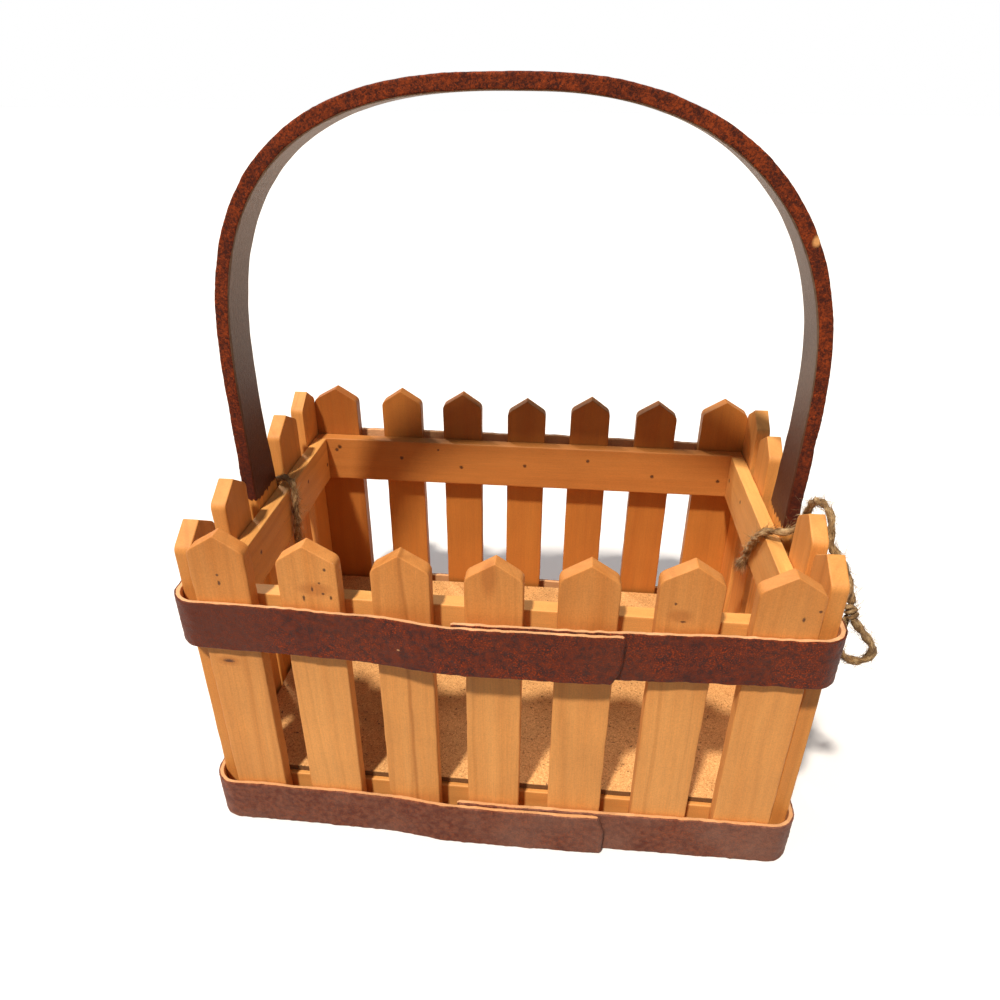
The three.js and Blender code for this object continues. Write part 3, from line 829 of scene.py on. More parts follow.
@dataclass
class Pickets:
    """The four rows of pickets: upright sticks with pointed, tumbled ends."""

    shoulder_drop: float = 7.4 * MM
    shoulder_round: float = 2.2 * MM
    tip_close: float = 2.6 * MM
    tip_lean: float = 0.6 * MM
    edge: float = 0.7 * MM
    step: float = 2.4 * MM
    wear: float = 0.05 * MM
    wear_wave: float = 14 * MM
    edge_wear: float = 0.2
    # How far below the shoulder the straight stretch ends, and how much of the edge's radius
    # the tip thins by.
    below_shoulder: float = 0.5 * MM
    thinning: float = 0.8
    # How amber a stick is: the least and most of a draw, and for the front its own values.
    tones: tuple[float, float] = (0.0, 0.5)
    front_tones: tuple[float, ...] = (0.25, 0.02, 0.12, 0.12, 0.14, 0.1, 0.16)
    # How far the pickets at the back corners reach past their boxes in X and Y, to touch.
    corner_reach: tuple[float, float] = (0.45 * MM, 0.6 * MM)
    corner_edge: float = 0.25 * MM
    marks: tuple[Mark, ...] = (
        Mark((-108.6, -83.4, 133.3), 0.9, (0.7, 1, 1.3)), Mark((-108.7, -83.4, 137.0), 0.6),
        Mark((-75.4, -83.4, 128.6), 0.9, (0.6, 1, 1.6)), Mark((-71.6, -83.4, 133.1), 0.8, (0.6, 1, 1.4)),
        Mark((-67.5, -83.4, 131.1), 0.6), Mark((-64.6, -83.4, 129.4), 0.8, (0.7, 1, 1.3)),
        Mark((-65.9, -83.4, 142.3), 0.7), Mark((-68.6, -83.4, 136.0), 0.5),
        Mark((65.7, -83.4, 136.4), 0.6), Mark((69.3, -83.4, 128.4), 0.8, (1.4, 1, 0.6)),
        Mark((112.2, -83.4, 132.7), 0.9, (0.7, 1, 1.3)), Mark((117.4, -83.4, 136.7), 0.7),
        Mark((-111.4, -83.4, 94.0), 1.2, (2.0, 1, 0.8)),
    )
    stains: tuple[Mark, ...] = (
        Mark((-111.4, -83.4, 94.0), 3.2, (1.5, 1, 0.8)), Mark((-70.6, -83.4, 133.0), 3.2, (2.2, 1, 1)),
        Mark((-3.5, -83.4, 143.0), 4.5, (0.7, 1, 2)), Mark((68.0, -83.4, 131.0), 3.0, (1.6, 1, 1)),
    )
    # The middle and half the width of each dark streak, along X.
    streaks: tuple[tuple[float, float], ...] = ((-36.3 * MM, 1.1 * MM),)

    def box(self, side: Side, number: int) -> tuple[np.ndarray, np.ndarray, float]:
        """The box that a picket fills.

        Args:
            side: The side that it stands on.
            number: Its place in the row.

        Returns:
            The lowest and highest corners, and the radius of the edges. The box is the CAD
            node's, and a little longer towards the corner for the pickets at the back corners.
        """
        low, high = np.array(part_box(f"{side.value}_picket_{number}"))
        x_reach, y_reach = self.corner_reach
        longer = {
            (Side.BACK, 1): (low, 0, -x_reach), (Side.BACK, 7): (high, 0, x_reach),
            (Side.LEFT, 4): (high, 1, y_reach), (Side.RIGHT, 4): (high, 1, y_reach),
        }
        if (side, number) not in longer:
            return low, high, self.edge
        corner, axis, reach = longer[side, number]
        corner[axis] += reach
        return low, high, self.corner_edge

    def outline(self, half: float, height: float) -> np.ndarray:
        """The right half of a picket's outline, from its shoulder to its tip.

        Args:
            half: Half the picket's width.
            height: Its height.

        Returns:
            Half widths and heights: a shoulder bent as a quadratic curve, and a straight slope
            whose points are closer near the tip.
        """
        slope = math.atan2(self.shoulder_drop, half)
        run = np.array([-math.cos(slope), math.sin(slope)])
        corner, tip = np.array([half, height - self.shoulder_drop]), np.array([0, height])
        low, high = corner - [0, self.shoulder_round], corner + run * self.shoulder_round
        bend = np.linspace(0, 1, 7)[:, None]
        turn = (1 - bend) ** 2 * low + 2 * bend * (1 - bend) * corner + bend**2 * high
        near_tip = tip - run * self.tip_close
        rise = high + np.linspace(0, 1, 9)[1:-1, None] * (near_tip - high)
        top = tip + np.linspace(1, 0, 6)[:, None] * (near_tip - tip)
        return np.concatenate([turn, rise, top])

    def stick(self, side: Side, number: int, seed: int) -> tuple[np.ndarray, np.ndarray]:
        """One picket in its box.

        Args:
            side: The side that it stands on.
            number: Its place in the row.
            seed: The seed of its small differences.

        Returns:
            The grid's points and their places in the log. The section shrinks by a quarter
            circle at the foot, follows the outline at the top, and thins over the tip. Its
            sides wander by the wear, and its tip leans a little to one side.
        """
        low, high, edge = self.box(side, number)
        wide, deep = stick_axes(side)
        size = high - low
        half, half_deep, height = abs(size @ wide) / 2, abs(size @ deep) / 2, size[2]
        head = self.outline(half, height)
        stations, inset = eased_ends(height, self.step, edge)
        keep = stations < head[0, 1] - self.below_shoulder
        z = np.concatenate([stations[keep], head[:, 1]])
        pulled = np.concatenate([inset[keep], np.zeros(len(head))])
        rows = np.zeros((len(z), 3))
        rows[:, 2] = z
        worn = wobble(rows + low, self.wear_wave, seed)
        half_wide = np.concatenate([half - inset[keep], head[:, 0]])
        half_wide = np.maximum(half_wide - self.wear * (1 + worn) * (pulled == 0), 0)
        half_wide[-1] = 0
        top = np.clip((z - (height - edge)) / edge, 0, 1)
        depth = half_deep - pulled - self.thinning * edge * (1 - np.sqrt(1 - top**2))
        side_step = np.random.default_rng(seed).uniform(-1, 1) * self.tip_lean
        lean = side_step * ramp(z, height - self.shoulder_drop, height)
        foot = np.append(((low + high) / 2)[:2], low[2])
        line = foot + rows + lean[:, None] * wide
        section = Section(wide_steps=6, deep_steps=2, arc_steps=4, guard=0.95)
        sweep = Sweep(line, wide, deep, half_wide, depth, edge * (1 + self.edge_wear * worn), section)
        points, _, _ = sweep.grid()
        return points, log_place(points, wide, deep, np.array([0, 0, 1.0]), seed)

    def build(self) -> None:
        """Builds every picket in place of its CAD node."""
        # The front row's upper parts are made more amber: painted shade.
        marked = Pine(
            "sanded pine with resin specks", painted_top_shade=0.5, marks=self.marks, stains=self.stains,
            streaks=self.streaks,
        )
        # The back row's darker straw and amber, and its more amber upper parts, are painted shade for the
        # weaker light inside the back.
        shaded_back_pine = Pine(
            "sanded pine, painted shade inside", straw="#c48038", amber="#a85f22", painted_top_shade=0.3, late_share=0.3
        )
        plain = Pine("sanded pine", straw="#e8a458", amber="#c67a32")
        front, back, short = marked.build(), shaded_back_pine.build(), plain.build()
        finishes = {Side.FRONT: front, Side.BACK: back, Side.LEFT: short, Side.RIGHT: short}
        for index, side in enumerate(Side):
            for number in side.numbers:
                seed = 100 * (index + 1) + number
                points, log = self.stick(side, number, seed)
                tone = np.random.default_rng(seed + 7).uniform(*self.tones)
                if side is Side.FRONT:
                    tone = self.front_tones[number - 1]
                make_piece(
                    f"picket_{side.value}_{number}", points, grid_faces(*points.shape[:2]),
                    {"log": log, "tone": np.full(points.shape[:2], tone)}, finishes[side],
                    node=f"{side.value}_picket_{number}", weld=True,
                )
            LOG.info("pickets: %s row of %d", side.value, len(side.numbers))


@dataclass
class Rails:
    """The upper and lower rails and the floor board: sawn sticks with eased edges."""

    edge: float = 0.45 * MM
    step: float = 3.0 * MM
    wear: float = 0.05 * MM
    wear_wave: float = 12 * MM
    edge_wear: float = 0.3
    tones: tuple[float, float] = (0.1, 0.45)
    # A point counts as on a sawn edge if it is this share of the edge's radius below the top.
    sawn_share: float = 0.3
    seed: int = 700
    board_seed: int = 790
    hole_size: float = 1.15
    extra_marks: tuple[Mark, ...] = (
        Mark((-49.7, 74.53, 119.7), 0.7), Mark((-107.6, 74.53, 118.9), 1.3),
    )

    def lay(
        self, name: str, node: str, seed: int, section: Section, finish: bpy.types.Material
    ) -> None:
        """Lays a stick in its CAD node's box, its grain along the box's longest side.

        The stick's width wanders by the wear.

        Args:
            name: The piece's name.
            node: The CAD node.
            seed: The seed of its small differences.
            section: The ring of points.
            finish: Its material, for which all but the top face counts as a sawn edge.
        """
        low, high = np.array(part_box(node))
        size = high - low
        along = int(np.argmax(size))
        wide, deep, run = (np.eye(3)[(along + turn) % 3] for turn in (1, 2, 0))
        stations, inset = eased_ends(size[along], self.step, self.edge)
        line = (low + high) / 2 + (stations - size[along] / 2)[:, None] * run
        worn = wobble(line, self.wear_wave, seed)
        half_wide = size @ wide / 2 - inset - self.wear * (1 + worn)
        half_deep = size @ deep / 2 - inset
        radius = self.edge * (1 + self.edge_wear * worn)
        sweep = Sweep(line, wide, deep, half_wide, half_deep, radius, section)
        points, _, _ = sweep.grid()
        tone = np.random.default_rng(seed + 3).uniform(*self.tones)
        sawn = points[..., 2] < points[..., 2].max() - self.sawn_share * self.edge
        log = log_place(points, wide, deep, run, seed)
        notes = {"log": log, "tone": np.full(points.shape[:2], tone), "edge": sawn}
        make_piece(name, points, grid_faces(*points.shape[:2]), notes, finish, node)

    def brad_marks(self) -> list[Mark]:
        """Where the brads' points come through the upper rails.

        Returns:
            One mark a brad, on the rail's inner face.
        """
        marks = []
        for side in Side:
            axis = 1 if side.long else 0
            low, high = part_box(f"upper_rail_{side.value}")
            inner = high if side in (Side.FRONT, Side.LEFT) else low
            for number in side.numbers:
                middle = np.mean(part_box(f"brad_{side.value}_{number}"), axis=0)
                middle[axis] = inner[axis]
                marks.append(Mark(tuple(middle / MM), self.hole_size))
        return marks

    def _on(self, mark: Mark, side: Side) -> bool:
        """Whether a mark is on a side's upper rail, within 1 mm."""
        low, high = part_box(f"upper_rail_{side.value}")
        return all(a / MM - 1 <= c <= b / MM + 1 for a, b, c in zip(low, high, mark.place))

    def build(self) -> None:
        """Builds the rails and the floor board in place of their CAD nodes."""
        marks = [*self.brad_marks(), *self.extra_marks]
        rail = Section(wide_steps=4, deep_steps=4, arc_steps=3, guard=0.94)
        sheet = Section(wide_steps=24, deep_steps=2, arc_steps=3, guard=0.99)
        lower = Pine("planed pine", straw="#e8ad64", amber="#cf853c", late_share=0.2).build()
        for index, side in enumerate(Side):
            # The back rail's darker straw and amber are painted shade for the weaker light inside the back.
            straw, amber = ("#cd8843", "#ad6428") if side is Side.BACK else ("#eeb468", "#d0853c")
            upper = Pine(
                f"planed pine with brad holes, {side.value}", straw=straw, amber=amber, late_share=0.2,
                marks=tuple(mark for mark in marks if self._on(mark, side)),
            ).build()
            for step, (level, finish) in enumerate((("upper", upper), ("lower", lower))):
                self.lay(
                    f"rail_{level}_{side.value}", f"{level}_rail_{side.value}",
                    self.seed + 10 * index + step, rail, finish,
                )
        LOG.info("rails: four upper and four lower")
        self.lay("board", "floor_board", self.board_seed, sheet, PressedBoard().build())
        LOG.info("floor board")


@dataclass
class Band:
    """A strip wrapped once round the pickets, with its outer end lapped over its inner end."""

    name: str
    node: str
    low: float
    bow: float
    notch_from: float
    notch_to: float
    finish: BarkStrip
    seed: int
    plain_end: bool
    height: float = 22.8 * MM
    thickness: float = 2.4 * MM
    gap: float = 0.3 * MM
    inner_x: float = 129.2 * MM
    inner_y: float = 86.2 * MM
    centre_y: float = 2.53 * MM
    corner: float = 8.5 * MM
    corner_points: int = 14
    side_bow: float = 0.3
    seam: float = 48.5 * MM
    overlap: float = 66 * MM
    # The length over which the outer end climbs over the inner one, and where it stops before it.
    scarf: float = 32 * MM
    scarf_stop: float = 2 * MM
    step: float = 1.1 * MM
    edge: float = 0.4 * MM
    edge_wave: float = 8 * MM
    edge_wear: float = 0.4
    end_share: float = 0.25
    foot_gap: float = 0.02 * MM
    # The end of the strip that is plum and little rubbed, and half the length of its blend.
    plain_until: float = -89 * MM
    plain_blend: float = 14 * MM
    # Heights and lengths of the waves of the bark, and of the upper and lower edges.
    bark_waves: tuple[tuple[float, float], ...] = ((0.1 * MM, 4.5 * MM), (0.08 * MM, 2.2 * MM))
    upper_waves: tuple[tuple[float, float], ...] = ((0.28 * MM, 26 * MM), (0.16 * MM, 5 * MM))
    lower_waves: tuple[tuple[float, float], ...] = ((0.22 * MM, 21 * MM), (0.16 * MM, 4 * MM))
    bark_sink: float = 0.1 * MM
    split_inset: float = 0.25 * MM
    # Shares of the thickness, from its middle outwards, between which bare wood turns to bark.
    bark_from: tuple[float, float] = (0.02, 0.26)
    # The torn end: its reach along the strip, how much of its tip is painted as dark as bark all round,
    # which is painted shade in the seam, its roughness, its chip's depth and its slant.
    torn_reach: float = 9 * MM
    torn_end_shade: float = 0.9 * MM
    torn_rough: tuple[float, float] = (0.25 * MM, 4 * MM)
    notch_depth: float = 2.7 * MM
    slant: float = 0.55 * MM

    def line(self) -> tuple[np.ndarray, np.ndarray]:
        """The strip's inner line, seen from above, and its outward normals.

        Returns:
            Points and unit normals, both as rows of x and y. The straight sides swell by the
            bow times the squared sine of the share along them, and the last stretch climbs
            over the first by the strip's thickness.
        """
        sx, sy = self.inner_x - self.corner, self.inner_y - self.corner
        start = self.seam - self.overlap

        def swell(share: np.ndarray) -> np.ndarray:
            """The squared sine of a share of a half turn."""
            return np.sin(share * np.pi) ** 2

        def front(a: float, b: float, climbs: bool) -> np.ndarray:
            """The front stretch from x = a to x = b."""
            x = np.linspace(a, b, math.ceil((b - a) / self.step) + 1)
            lift = climbs * (self.thickness + self.gap) * ramp(x, start - self.scarf, start - self.scarf_stop)
            y = -self.inner_y - self.bow * swell((x + sx) / (2 * sx)) - lift
            return np.stack([x, y], axis=-1)

        def bend(cx: float, cy: float, turn: float) -> np.ndarray:
            """A quarter circle about a corner's centre."""
            angles = turn + np.linspace(0, np.pi / 2, self.corner_points)[1:-1]
            return np.array([cx, cy]) + self.corner * circle(angles, np.array([1, 0]), np.array([0, 1]))

        def side(a: tuple[float, float], b: tuple[float, float]) -> np.ndarray:
            """A straight side that swells outwards a little."""
            a, b = np.array(a), np.array(b)
            share = np.linspace(0, 1, math.ceil(np.linalg.norm(b - a) / self.step) + 1)[:, None]
            run = unit(b - a)
            return a + share * (b - a) + self.side_bow * self.bow * swell(share) * np.array([run[1], -run[0]])

        line = np.concatenate([
            front(start, sx, False), bend(sx, -sy, -np.pi / 2),
            side((self.inner_x, -sy), (self.inner_x, sy)), bend(sx, sy, 0),
            side((sx, self.inner_y), (-sx, self.inner_y)), bend(-sx, sy, np.pi / 2),
            side((-self.inner_x, sy), (-self.inner_x, -sy)), bend(-sx, -sy, np.pi),
            front(-sx, self.seam, True),
        ])
        run = unit(np.gradient(line, axis=0))
        return line, np.stack([run[:, 1], -run[:, 0]], axis=-1)

    def build(self) -> None:
        """Builds the strip in place of its CAD node.

        The outer face is moved out by the bark's waves less their sink, the upper and lower
        edges up and down by theirs, and the outer end back along the strip by the sum of its
        roughness, its chip and its slant.
        """
        line, out = self.line()
        count, travelled = len(line), travel(line)
        outward = np.concatenate([out, np.zeros((count, 1))], axis=1)
        run = np.stack([-out[:, 1], out[:, 0], np.zeros(count)], axis=-1)
        middle = np.zeros((count, 3))
        middle[:, :2] = line + out * self.thickness / 2
        middle += [0, self.centre_y, self.low + self.height / 2]
        half_deep = np.full(count, self.thickness / 2)
        half_deep[[0, -1]] *= self.end_share
        radius = self.edge * (1 + self.edge_wear * wobble(middle, self.edge_wave, self.seed))
        up = np.array([0, 0, 1.0])
        section = Section(wide_steps=22, deep_steps=2, arc_steps=4, guard=0.98)
        sweep = Sweep(middle, up, outward, self.height / 2, half_deep, radius, section)
        points, outs, turned = sweep.grid()
        bark = ramp(turned[:, 1], 0.2, 0.9)
        rise = relief(points, self.bark_waves, self.seed + 1) - self.bark_sink
        points = points + outs * (bark * rise)[..., None]
        share = (points[..., 2] - self.low) / self.height
        upper = relief(middle, self.upper_waves, self.seed + 3) - self.split_inset
        lower = relief(middle, self.lower_waves, self.seed + 5) + self.split_inset
        points[..., 2] += ramp(share, 0.5, 1) * upper[:, None] + ramp(share, 0.5, 0) * lower[:, None]
        near = ramp(travelled, travelled[-1] - self.torn_reach, travelled[-1])[:, None]
        height, wave = self.torn_rough
        notch = np.clip((points[..., 2] - self.notch_from) / (self.notch_to - self.notch_from), 0, 1)
        torn = height * (1 + wobble(points * [0, 0, 1], wave, self.seed + 8))
        torn += self.notch_depth * notch + self.slant * (1 - share)
        points -= run[:, None, :] * (near * torn)[..., None]
        points[..., 2] = np.maximum(points[..., 2], self.low + self.foot_gap)
        # Bare wood shows on all but the outer face and the torn end, whose tip is painted as dark as bark:
        # painted shade in the seam.
        through = ((points - middle[:, None, :]) * outward[:, None, :]).sum(axis=-1) / self.thickness
        raw = (1 - ramp(through, *self.bark_from)) * (travelled < travelled[-1] - self.torn_end_shade)[:, None]
        blend = (self.plain_until + self.plain_blend, self.plain_until - self.plain_blend)
        plain = self.plain_end * ramp(points[..., 0], *blend)
        make_piece(
            self.name, points, grid_faces(*points.shape[:2]), {"raw": raw, "plain": plain},
            self.finish.build(), self.node,
        )
        LOG.info("%s: %.0f mm of strip", self.name, travelled[-1] / MM)


@dataclass
class Hoop:
    """The bent handle: a strip that rises from both side rails and arches over the basket."""

    half: float = 128.4 * MM
    top: float = 307.4 * MM
    spring: float = 180 * MM
    foot: float = 2 * MM
    thickness: float = 6.3 * MM
    width: float = 22 * MM
    centre_y: float = -0.47 * MM
    # How much the legs widen to the back on their way down, and from where to where.
    flare: float = 9 * MM
    flare_top: float = 168 * MM
    flare_foot: float = 80 * MM
    tongue_top: float = 129 * MM
    shave: float = 0.9 * MM
    left_fullness: float = 2.75
    right_fullness: float = 2.4
    edge: float = 1.1 * MM
    edge_wave: float = 10 * MM
    edge_wear: float = 0.3
    step: float = 1.3 * MM
    seed: int = 900
    # Heights and lengths of the waves of the felted bark and of the smooth face.
    felt_waves: tuple[tuple[float, float], ...] = ((0.1 * MM, 19 * MM), (0.07 * MM, 2.6 * MM))
    smooth_waves: tuple[tuple[float, float], ...] = ((0.05 * MM, 30 * MM),)
    felt_sink: float = 0.15 * MM
    # Heights between which the felt and the bare wood of the tongues come in.
    felt_rise: tuple[float, float] = (122 * MM, 136 * MM)
    bare_rise: tuple[float, float] = (133 * MM, 125 * MM)

    def line(self) -> np.ndarray:
        """The outer face's line, from the right foot over the top to the left foot.

        Returns:
            Rows of x and z, evenly spaced: straight legs, joined by an arch whose x and z are
            a cosine and a sine raised to a power below one, which makes its shoulders full.
        """
        arch_points, leg_points = 3000, 200
        angle = np.linspace(0, np.pi, arch_points)
        across, up = np.cos(angle), np.sin(angle)
        power = 2 / np.where(across > 0, self.right_fullness, self.left_fullness)
        x = self.half * np.sign(across) * np.abs(across) ** power
        z = self.spring + (self.top - self.spring) * up**power
        legs = np.linspace(self.foot, self.spring, leg_points)[:-1]
        right = np.stack([np.full(len(legs), self.half), legs], axis=-1)
        left = right[::-1] * [-1, 1]
        return evenly(np.concatenate([right, np.stack([x, z], axis=-1), left]), self.step)

    def build(self) -> None:
        """Builds the strip in place of its CAD node.

        Its section hangs from the outer line, thins where the tongues are shaved, and grows
        to the back by the flare's share of the way down. Its back and edges are moved by the
        felt's waves less their sink, and its inner face by the smooth ones.
        """
        line = self.line()
        run = unit(np.gradient(line, axis=0))
        out = np.stack([run[:, 1], -run[:, 0]], axis=-1)
        shaved = self.shave * ramp(line[:, 1], self.tongue_top + 2 * self.shave, self.tongue_top)
        centre = line - out * (self.thickness + shaved)[:, None] / 2
        down = (self.flare_top - line[:, 1]) / (self.flare_top - self.flare_foot)
        flare = self.flare * np.clip(down, 0, 1)
        middle = np.stack([centre[:, 0], self.centre_y + flare / 2, centre[:, 1]], axis=-1)
        outward = np.stack([out[:, 0], np.zeros(len(line)), out[:, 1]], axis=-1)
        radius = self.edge * (1 + self.edge_wear * wobble(middle, self.edge_wave, self.seed))
        section = Section(wide_steps=16, deep_steps=5, arc_steps=4, guard=0.97)
        sweep = Sweep(
            middle, np.array([0, -1.0, 0]), outward, (self.width + flare) / 2,
            (self.thickness - shaved) / 2, radius, section,
        )
        points, outs, turned = sweep.grid()
        rough = ramp(turned[:, 1], -0.9, 0.1) * ramp(points[..., 2], *self.felt_rise)
        felt = relief(points, self.felt_waves, self.seed + 1) - self.felt_sink
        smooth = relief(points, self.smooth_waves, self.seed + 3)
        points = points + outs * (rough * felt + (1 - rough) * smooth)[..., None]
        inner = np.broadcast_to(ramp(turned[:, 1], -0.35, -0.85), points.shape[:2])
        bare = ramp(points[..., 2], *self.bare_rise)
        travelled = np.arange(len(line))[:, None] * self.step + np.zeros(points.shape[:2])
        along = np.stack([travelled, points[..., 1], np.zeros_like(travelled)], axis=-1)
        make_piece(
            "hoop_handle", points, grid_faces(*points.shape[:2]),
            {"inner": inner, "bare": bare, "along": along}, HoopBark().build(), "handle",
        )
        LOG.info("handle: %.0f mm of strip", travelled.max() / MM)


def spline(knots: np.ndarray, step: float) -> np.ndarray:
    """A smooth line through points: a centripetal Catmull-Rom spline, evenly spaced.

    Args:
        knots: The points, one a row.
        step: The distance between points of the result.

    Returns:
        Points along the spline. Each stretch is three rounds of blending between its four
        nearest knots, whose knot values grow by the square root of their distance.
    """
    per_stretch = 24
    padded = np.concatenate([[2 * knots[0] - knots[1]], knots, [2 * knots[-1] - knots[-2]]])
    p = [padded[i : len(padded) - 3 + i, None, :] for i in range(4)]
    t = [np.zeros((len(knots) - 1, 1, 1))]
    for i in range(3):
        t.append(t[i] + np.sqrt(np.linalg.norm(p[i + 1] - p[i], axis=-1, keepdims=True)))
    u = t[1] + (t[2] - t[1]) * np.linspace(0, 1, per_stretch, endpoint=False)[None, :, None]

    def blend(a: np.ndarray, b: np.ndarray, ta: np.ndarray, tb: np.ndarray) -> np.ndarray:
        """Blends a to b as u goes from ta to tb."""
        return (a * (tb - u) + b * (u - ta)) / (tb - ta)

    first = [blend(p[i], p[i + 1], t[i], t[i + 1]) for i in range(3)]
    second = [blend(first[i], first[i + 1], t[i], t[i + 2]) for i in range(2)]
    fine = blend(second[0], second[1], t[1], t[2]).reshape(-1, 3)
    return evenly(np.concatenate([fine, knots[-1:]]), step)


def carried_frame(line: np.ndarray) -> tuple[np.ndarray, np.ndarray, np.ndarray]:
    """Axes carried along a line without turning about it.

    Args:
        line: The points, one a row.

    Returns:
        The line's direction, and two axes square to it, at each point.
    """
    run = unit(np.gradient(line, axis=0))
    axes = [unit(np.cross(run[0], [0.3, 0.5, 0.8]))]
    for ahead in run[1:]:
        axes.append(unit(axes[-1] - ahead * (axes[-1] @ ahead)))
    side = np.array(axes)
    return run, side, np.cross(run, side)


Knots = tuple[tuple[float, float, float], ...]


@dataclass
class Tie:
    """One length of twine: two plies laid round each other, with loose fibres all along it."""

    name: str
    knots: Knots
    seed: int
    diameter: float = 3.4 * MM
    lay_length: float = 15 * MM
    step: float = 0.45 * MM
    sides: int = 12
    # The plies: their thickness and their distance from the middle, as shares of the twine's
    # radius, the height of their ridges and of their wander, and the length of its waves.
    ply: float = 0.68
    ply_offset: float = 0.33
    ridge: float = 0.05
    wander: float = 0.07
    wander_wave: float = 7 * MM
    # How thin the ends are, and over what length they thin out.
    end_share: float = 0.25
    end_length: float = 1.2 * MM
    frayed_start: float = 0.0
    # Loose fibres along the twine: their number, and the least and most of their length, of
    # their thickness, of their lean along the twine and of their curl.
    fuzz: int = 260
    fuzz_length: tuple[float, float] = (1.2 * MM, 4.5 * MM)
    fuzz_thick: tuple[float, float] = (0.05 * MM, 0.1 * MM)
    fuzz_lean: tuple[float, float] = (0.9, 4.5)
    fuzz_curl: tuple[float, float] = (0.1, 0.9)
    # The brush at its start, which grows from its first few millimetres.
    brush: int = 0
    brush_length: float = 9 * MM
    brush_lean: tuple[float, float] = (1.8, 7.0)
    brush_root: float = 3 * MM
    floor_gap: float = 1 * MM

    def route(self) -> np.ndarray:
        """The centreline, in metres."""
        return spline(np.array(self.knots) * MM, self.step)

    def build(self, jute: bpy.types.Material, node: str | None = None) -> bpy.types.Object:
        """Builds both plies as one mesh tube.

        Args:
            jute: The material.
            node: The CAD node that it stands for, if it does.

        Returns:
            The piece.

        A ply's middle circles the centreline once a lay length at about a third of the
        radius, and its own ring has three soft ridges that turn the other way.
        """
        line = self.route()
        _, side, other = carried_frame(line)
        count = len(line)
        travelled = np.linspace(0, travel(line)[-1], count)
        radius, long, rise = self.diameter / 2, travelled[-1], 1 - self.end_share
        thin = np.minimum(1, self.end_share + rise * ramp(travelled, 0, self.end_length + self.frayed_start))
        thin = np.minimum(thin, self.end_share + rise * ramp(travelled, long, long - self.end_length))
        around = np.linspace(0, 2 * np.pi, self.sides, endpoint=False)
        points, faces, strands = [], [], []
        for ply in range(2):
            turn = 2 * np.pi * travelled / self.lay_length + np.pi * ply
            offset = self.ply_offset * radius * (0.6 + 0.4 * thin)
            middle = line + offset[:, None] * circle(turn, side, other)
            ridges = 1 + self.ridge * np.cos(3 * around - 1.6 * turn[:, None])
            uneven = 1 + self.wander * wobble(middle, self.wander_wave, self.seed + ply)[:, None]
            fat = self.ply * radius * thin[:, None] * ridges * uneven
            points.append(middle[:, None] + fat[..., None] * circle(around, side[:, None], other[:, None]))
            faces += grid_faces(count, self.sides, first=ply * count * self.sides)
            spin = around / (2 * np.pi) * 6 - 0.5 * turn[:, None]
            strands.append(np.stack(np.broadcast_arrays(travelled[:, None], spin, 5.0 * ply), axis=-1))
        notes = {"strand": np.concatenate(strands)}
        return make_piece(self.name, np.concatenate(points), faces, notes, jute, node)

    def fibres(self, jute: bpy.types.Material, away: np.ndarray | None = None) -> bpy.types.Object:
        """Builds the loose fibres.

        Args:
            jute: The material.
            away: A direction in which no fibre may start, such as into a rail.

        Returns:
            One mesh of thin curved three-sided threads. Each starts on the twine, leans along
            it and outwards, and curls about a random axis by the square of the share along it.
            The last ones are the brush, which carries on past the twine's start.
        """
        draw = np.random.default_rng(self.seed)
        line = self.route()
        run, side, other = carried_frame(line)
        count, stations, sides = self.fuzz + self.brush, 8, 3
        tail = np.arange(count)[:, None] >= self.fuzz
        at = draw.integers(0, len(line), count)
        at[self.fuzz :] = draw.integers(0, int(self.brush_root / self.step), self.brush)
        radial = circle(draw.uniform(0, 2 * np.pi, count), side[at], other[at])
        if away is not None:
            radial = unit(radial - 1.6 * np.clip(radial @ away, 0, None)[:, None] * away)
        lean = draw.choice([-1, 1], (count, 1)) * draw.uniform(*self.fuzz_lean, (count, 1))
        lean = np.where(tail, -draw.uniform(*self.brush_lean, (count, 1)), lean)
        way = unit(radial + lean * run[at])
        length = draw.uniform(*self.fuzz_length, (count, 1)) * (1 + 1.4 * draw.random((count, 1)) ** 8)
        length = np.where(tail, self.brush_length * draw.uniform(0.45, 1, (count, 1)), length)
        curl = unit(np.cross(way, draw.normal(size=(count, 3))))
        curl = curl * draw.uniform(*self.fuzz_curl, (count, 1)) * np.where(tail, 0.45, 1)
        if away is not None:
            curl -= 1.3 * np.clip(curl @ away, 0, None)[:, None] * away
        share = np.linspace(0, 1, stations)[:, None]
        start = line[at] + radial * np.where(tail, 0.2, 0.46) * self.diameter
        middle = start[:, None] + length[:, None] * (share * way[:, None] + share**2 * curl[:, None])
        middle[..., 2] = np.maximum(middle[..., 2], self.floor_gap)
        thick = draw.uniform(*self.fuzz_thick, (count, 1, 1)) * np.where(tail, 1.5, 1)[:, None]
        thick = thick * (1 - 0.7 * share)
        cross = unit(np.cross(way, [0.21, 0.43, 0.88]))
        around = np.linspace(0, 2 * np.pi, sides, endpoint=False)
        ring = circle(around, cross[:, None], np.cross(way, cross)[:, None])
        points = middle[:, :, None] + thick[..., None] * ring[:, None]
        ids = np.arange(count * stations * sides).reshape(count, stations, sides)
        after = np.roll(ids, -1, axis=2)
        quads = np.stack([ids[:, :-1], after[:, :-1], after[:, 1:], ids[:, 1:]], axis=-1)
        faces = quads.reshape(-1, 4).tolist() + ids[:, 0, ::-1].tolist() + ids[:, -1].tolist()
        own = draw.uniform(0, 9, count)[:, None, None] + np.zeros(ids.shape)
        strand = np.stack(np.broadcast_arrays(share * 4 * MM, own, 0.0), axis=-1)
        return make_piece(f"{self.name}_fibres", points, faces, {"strand": strand}, jute)


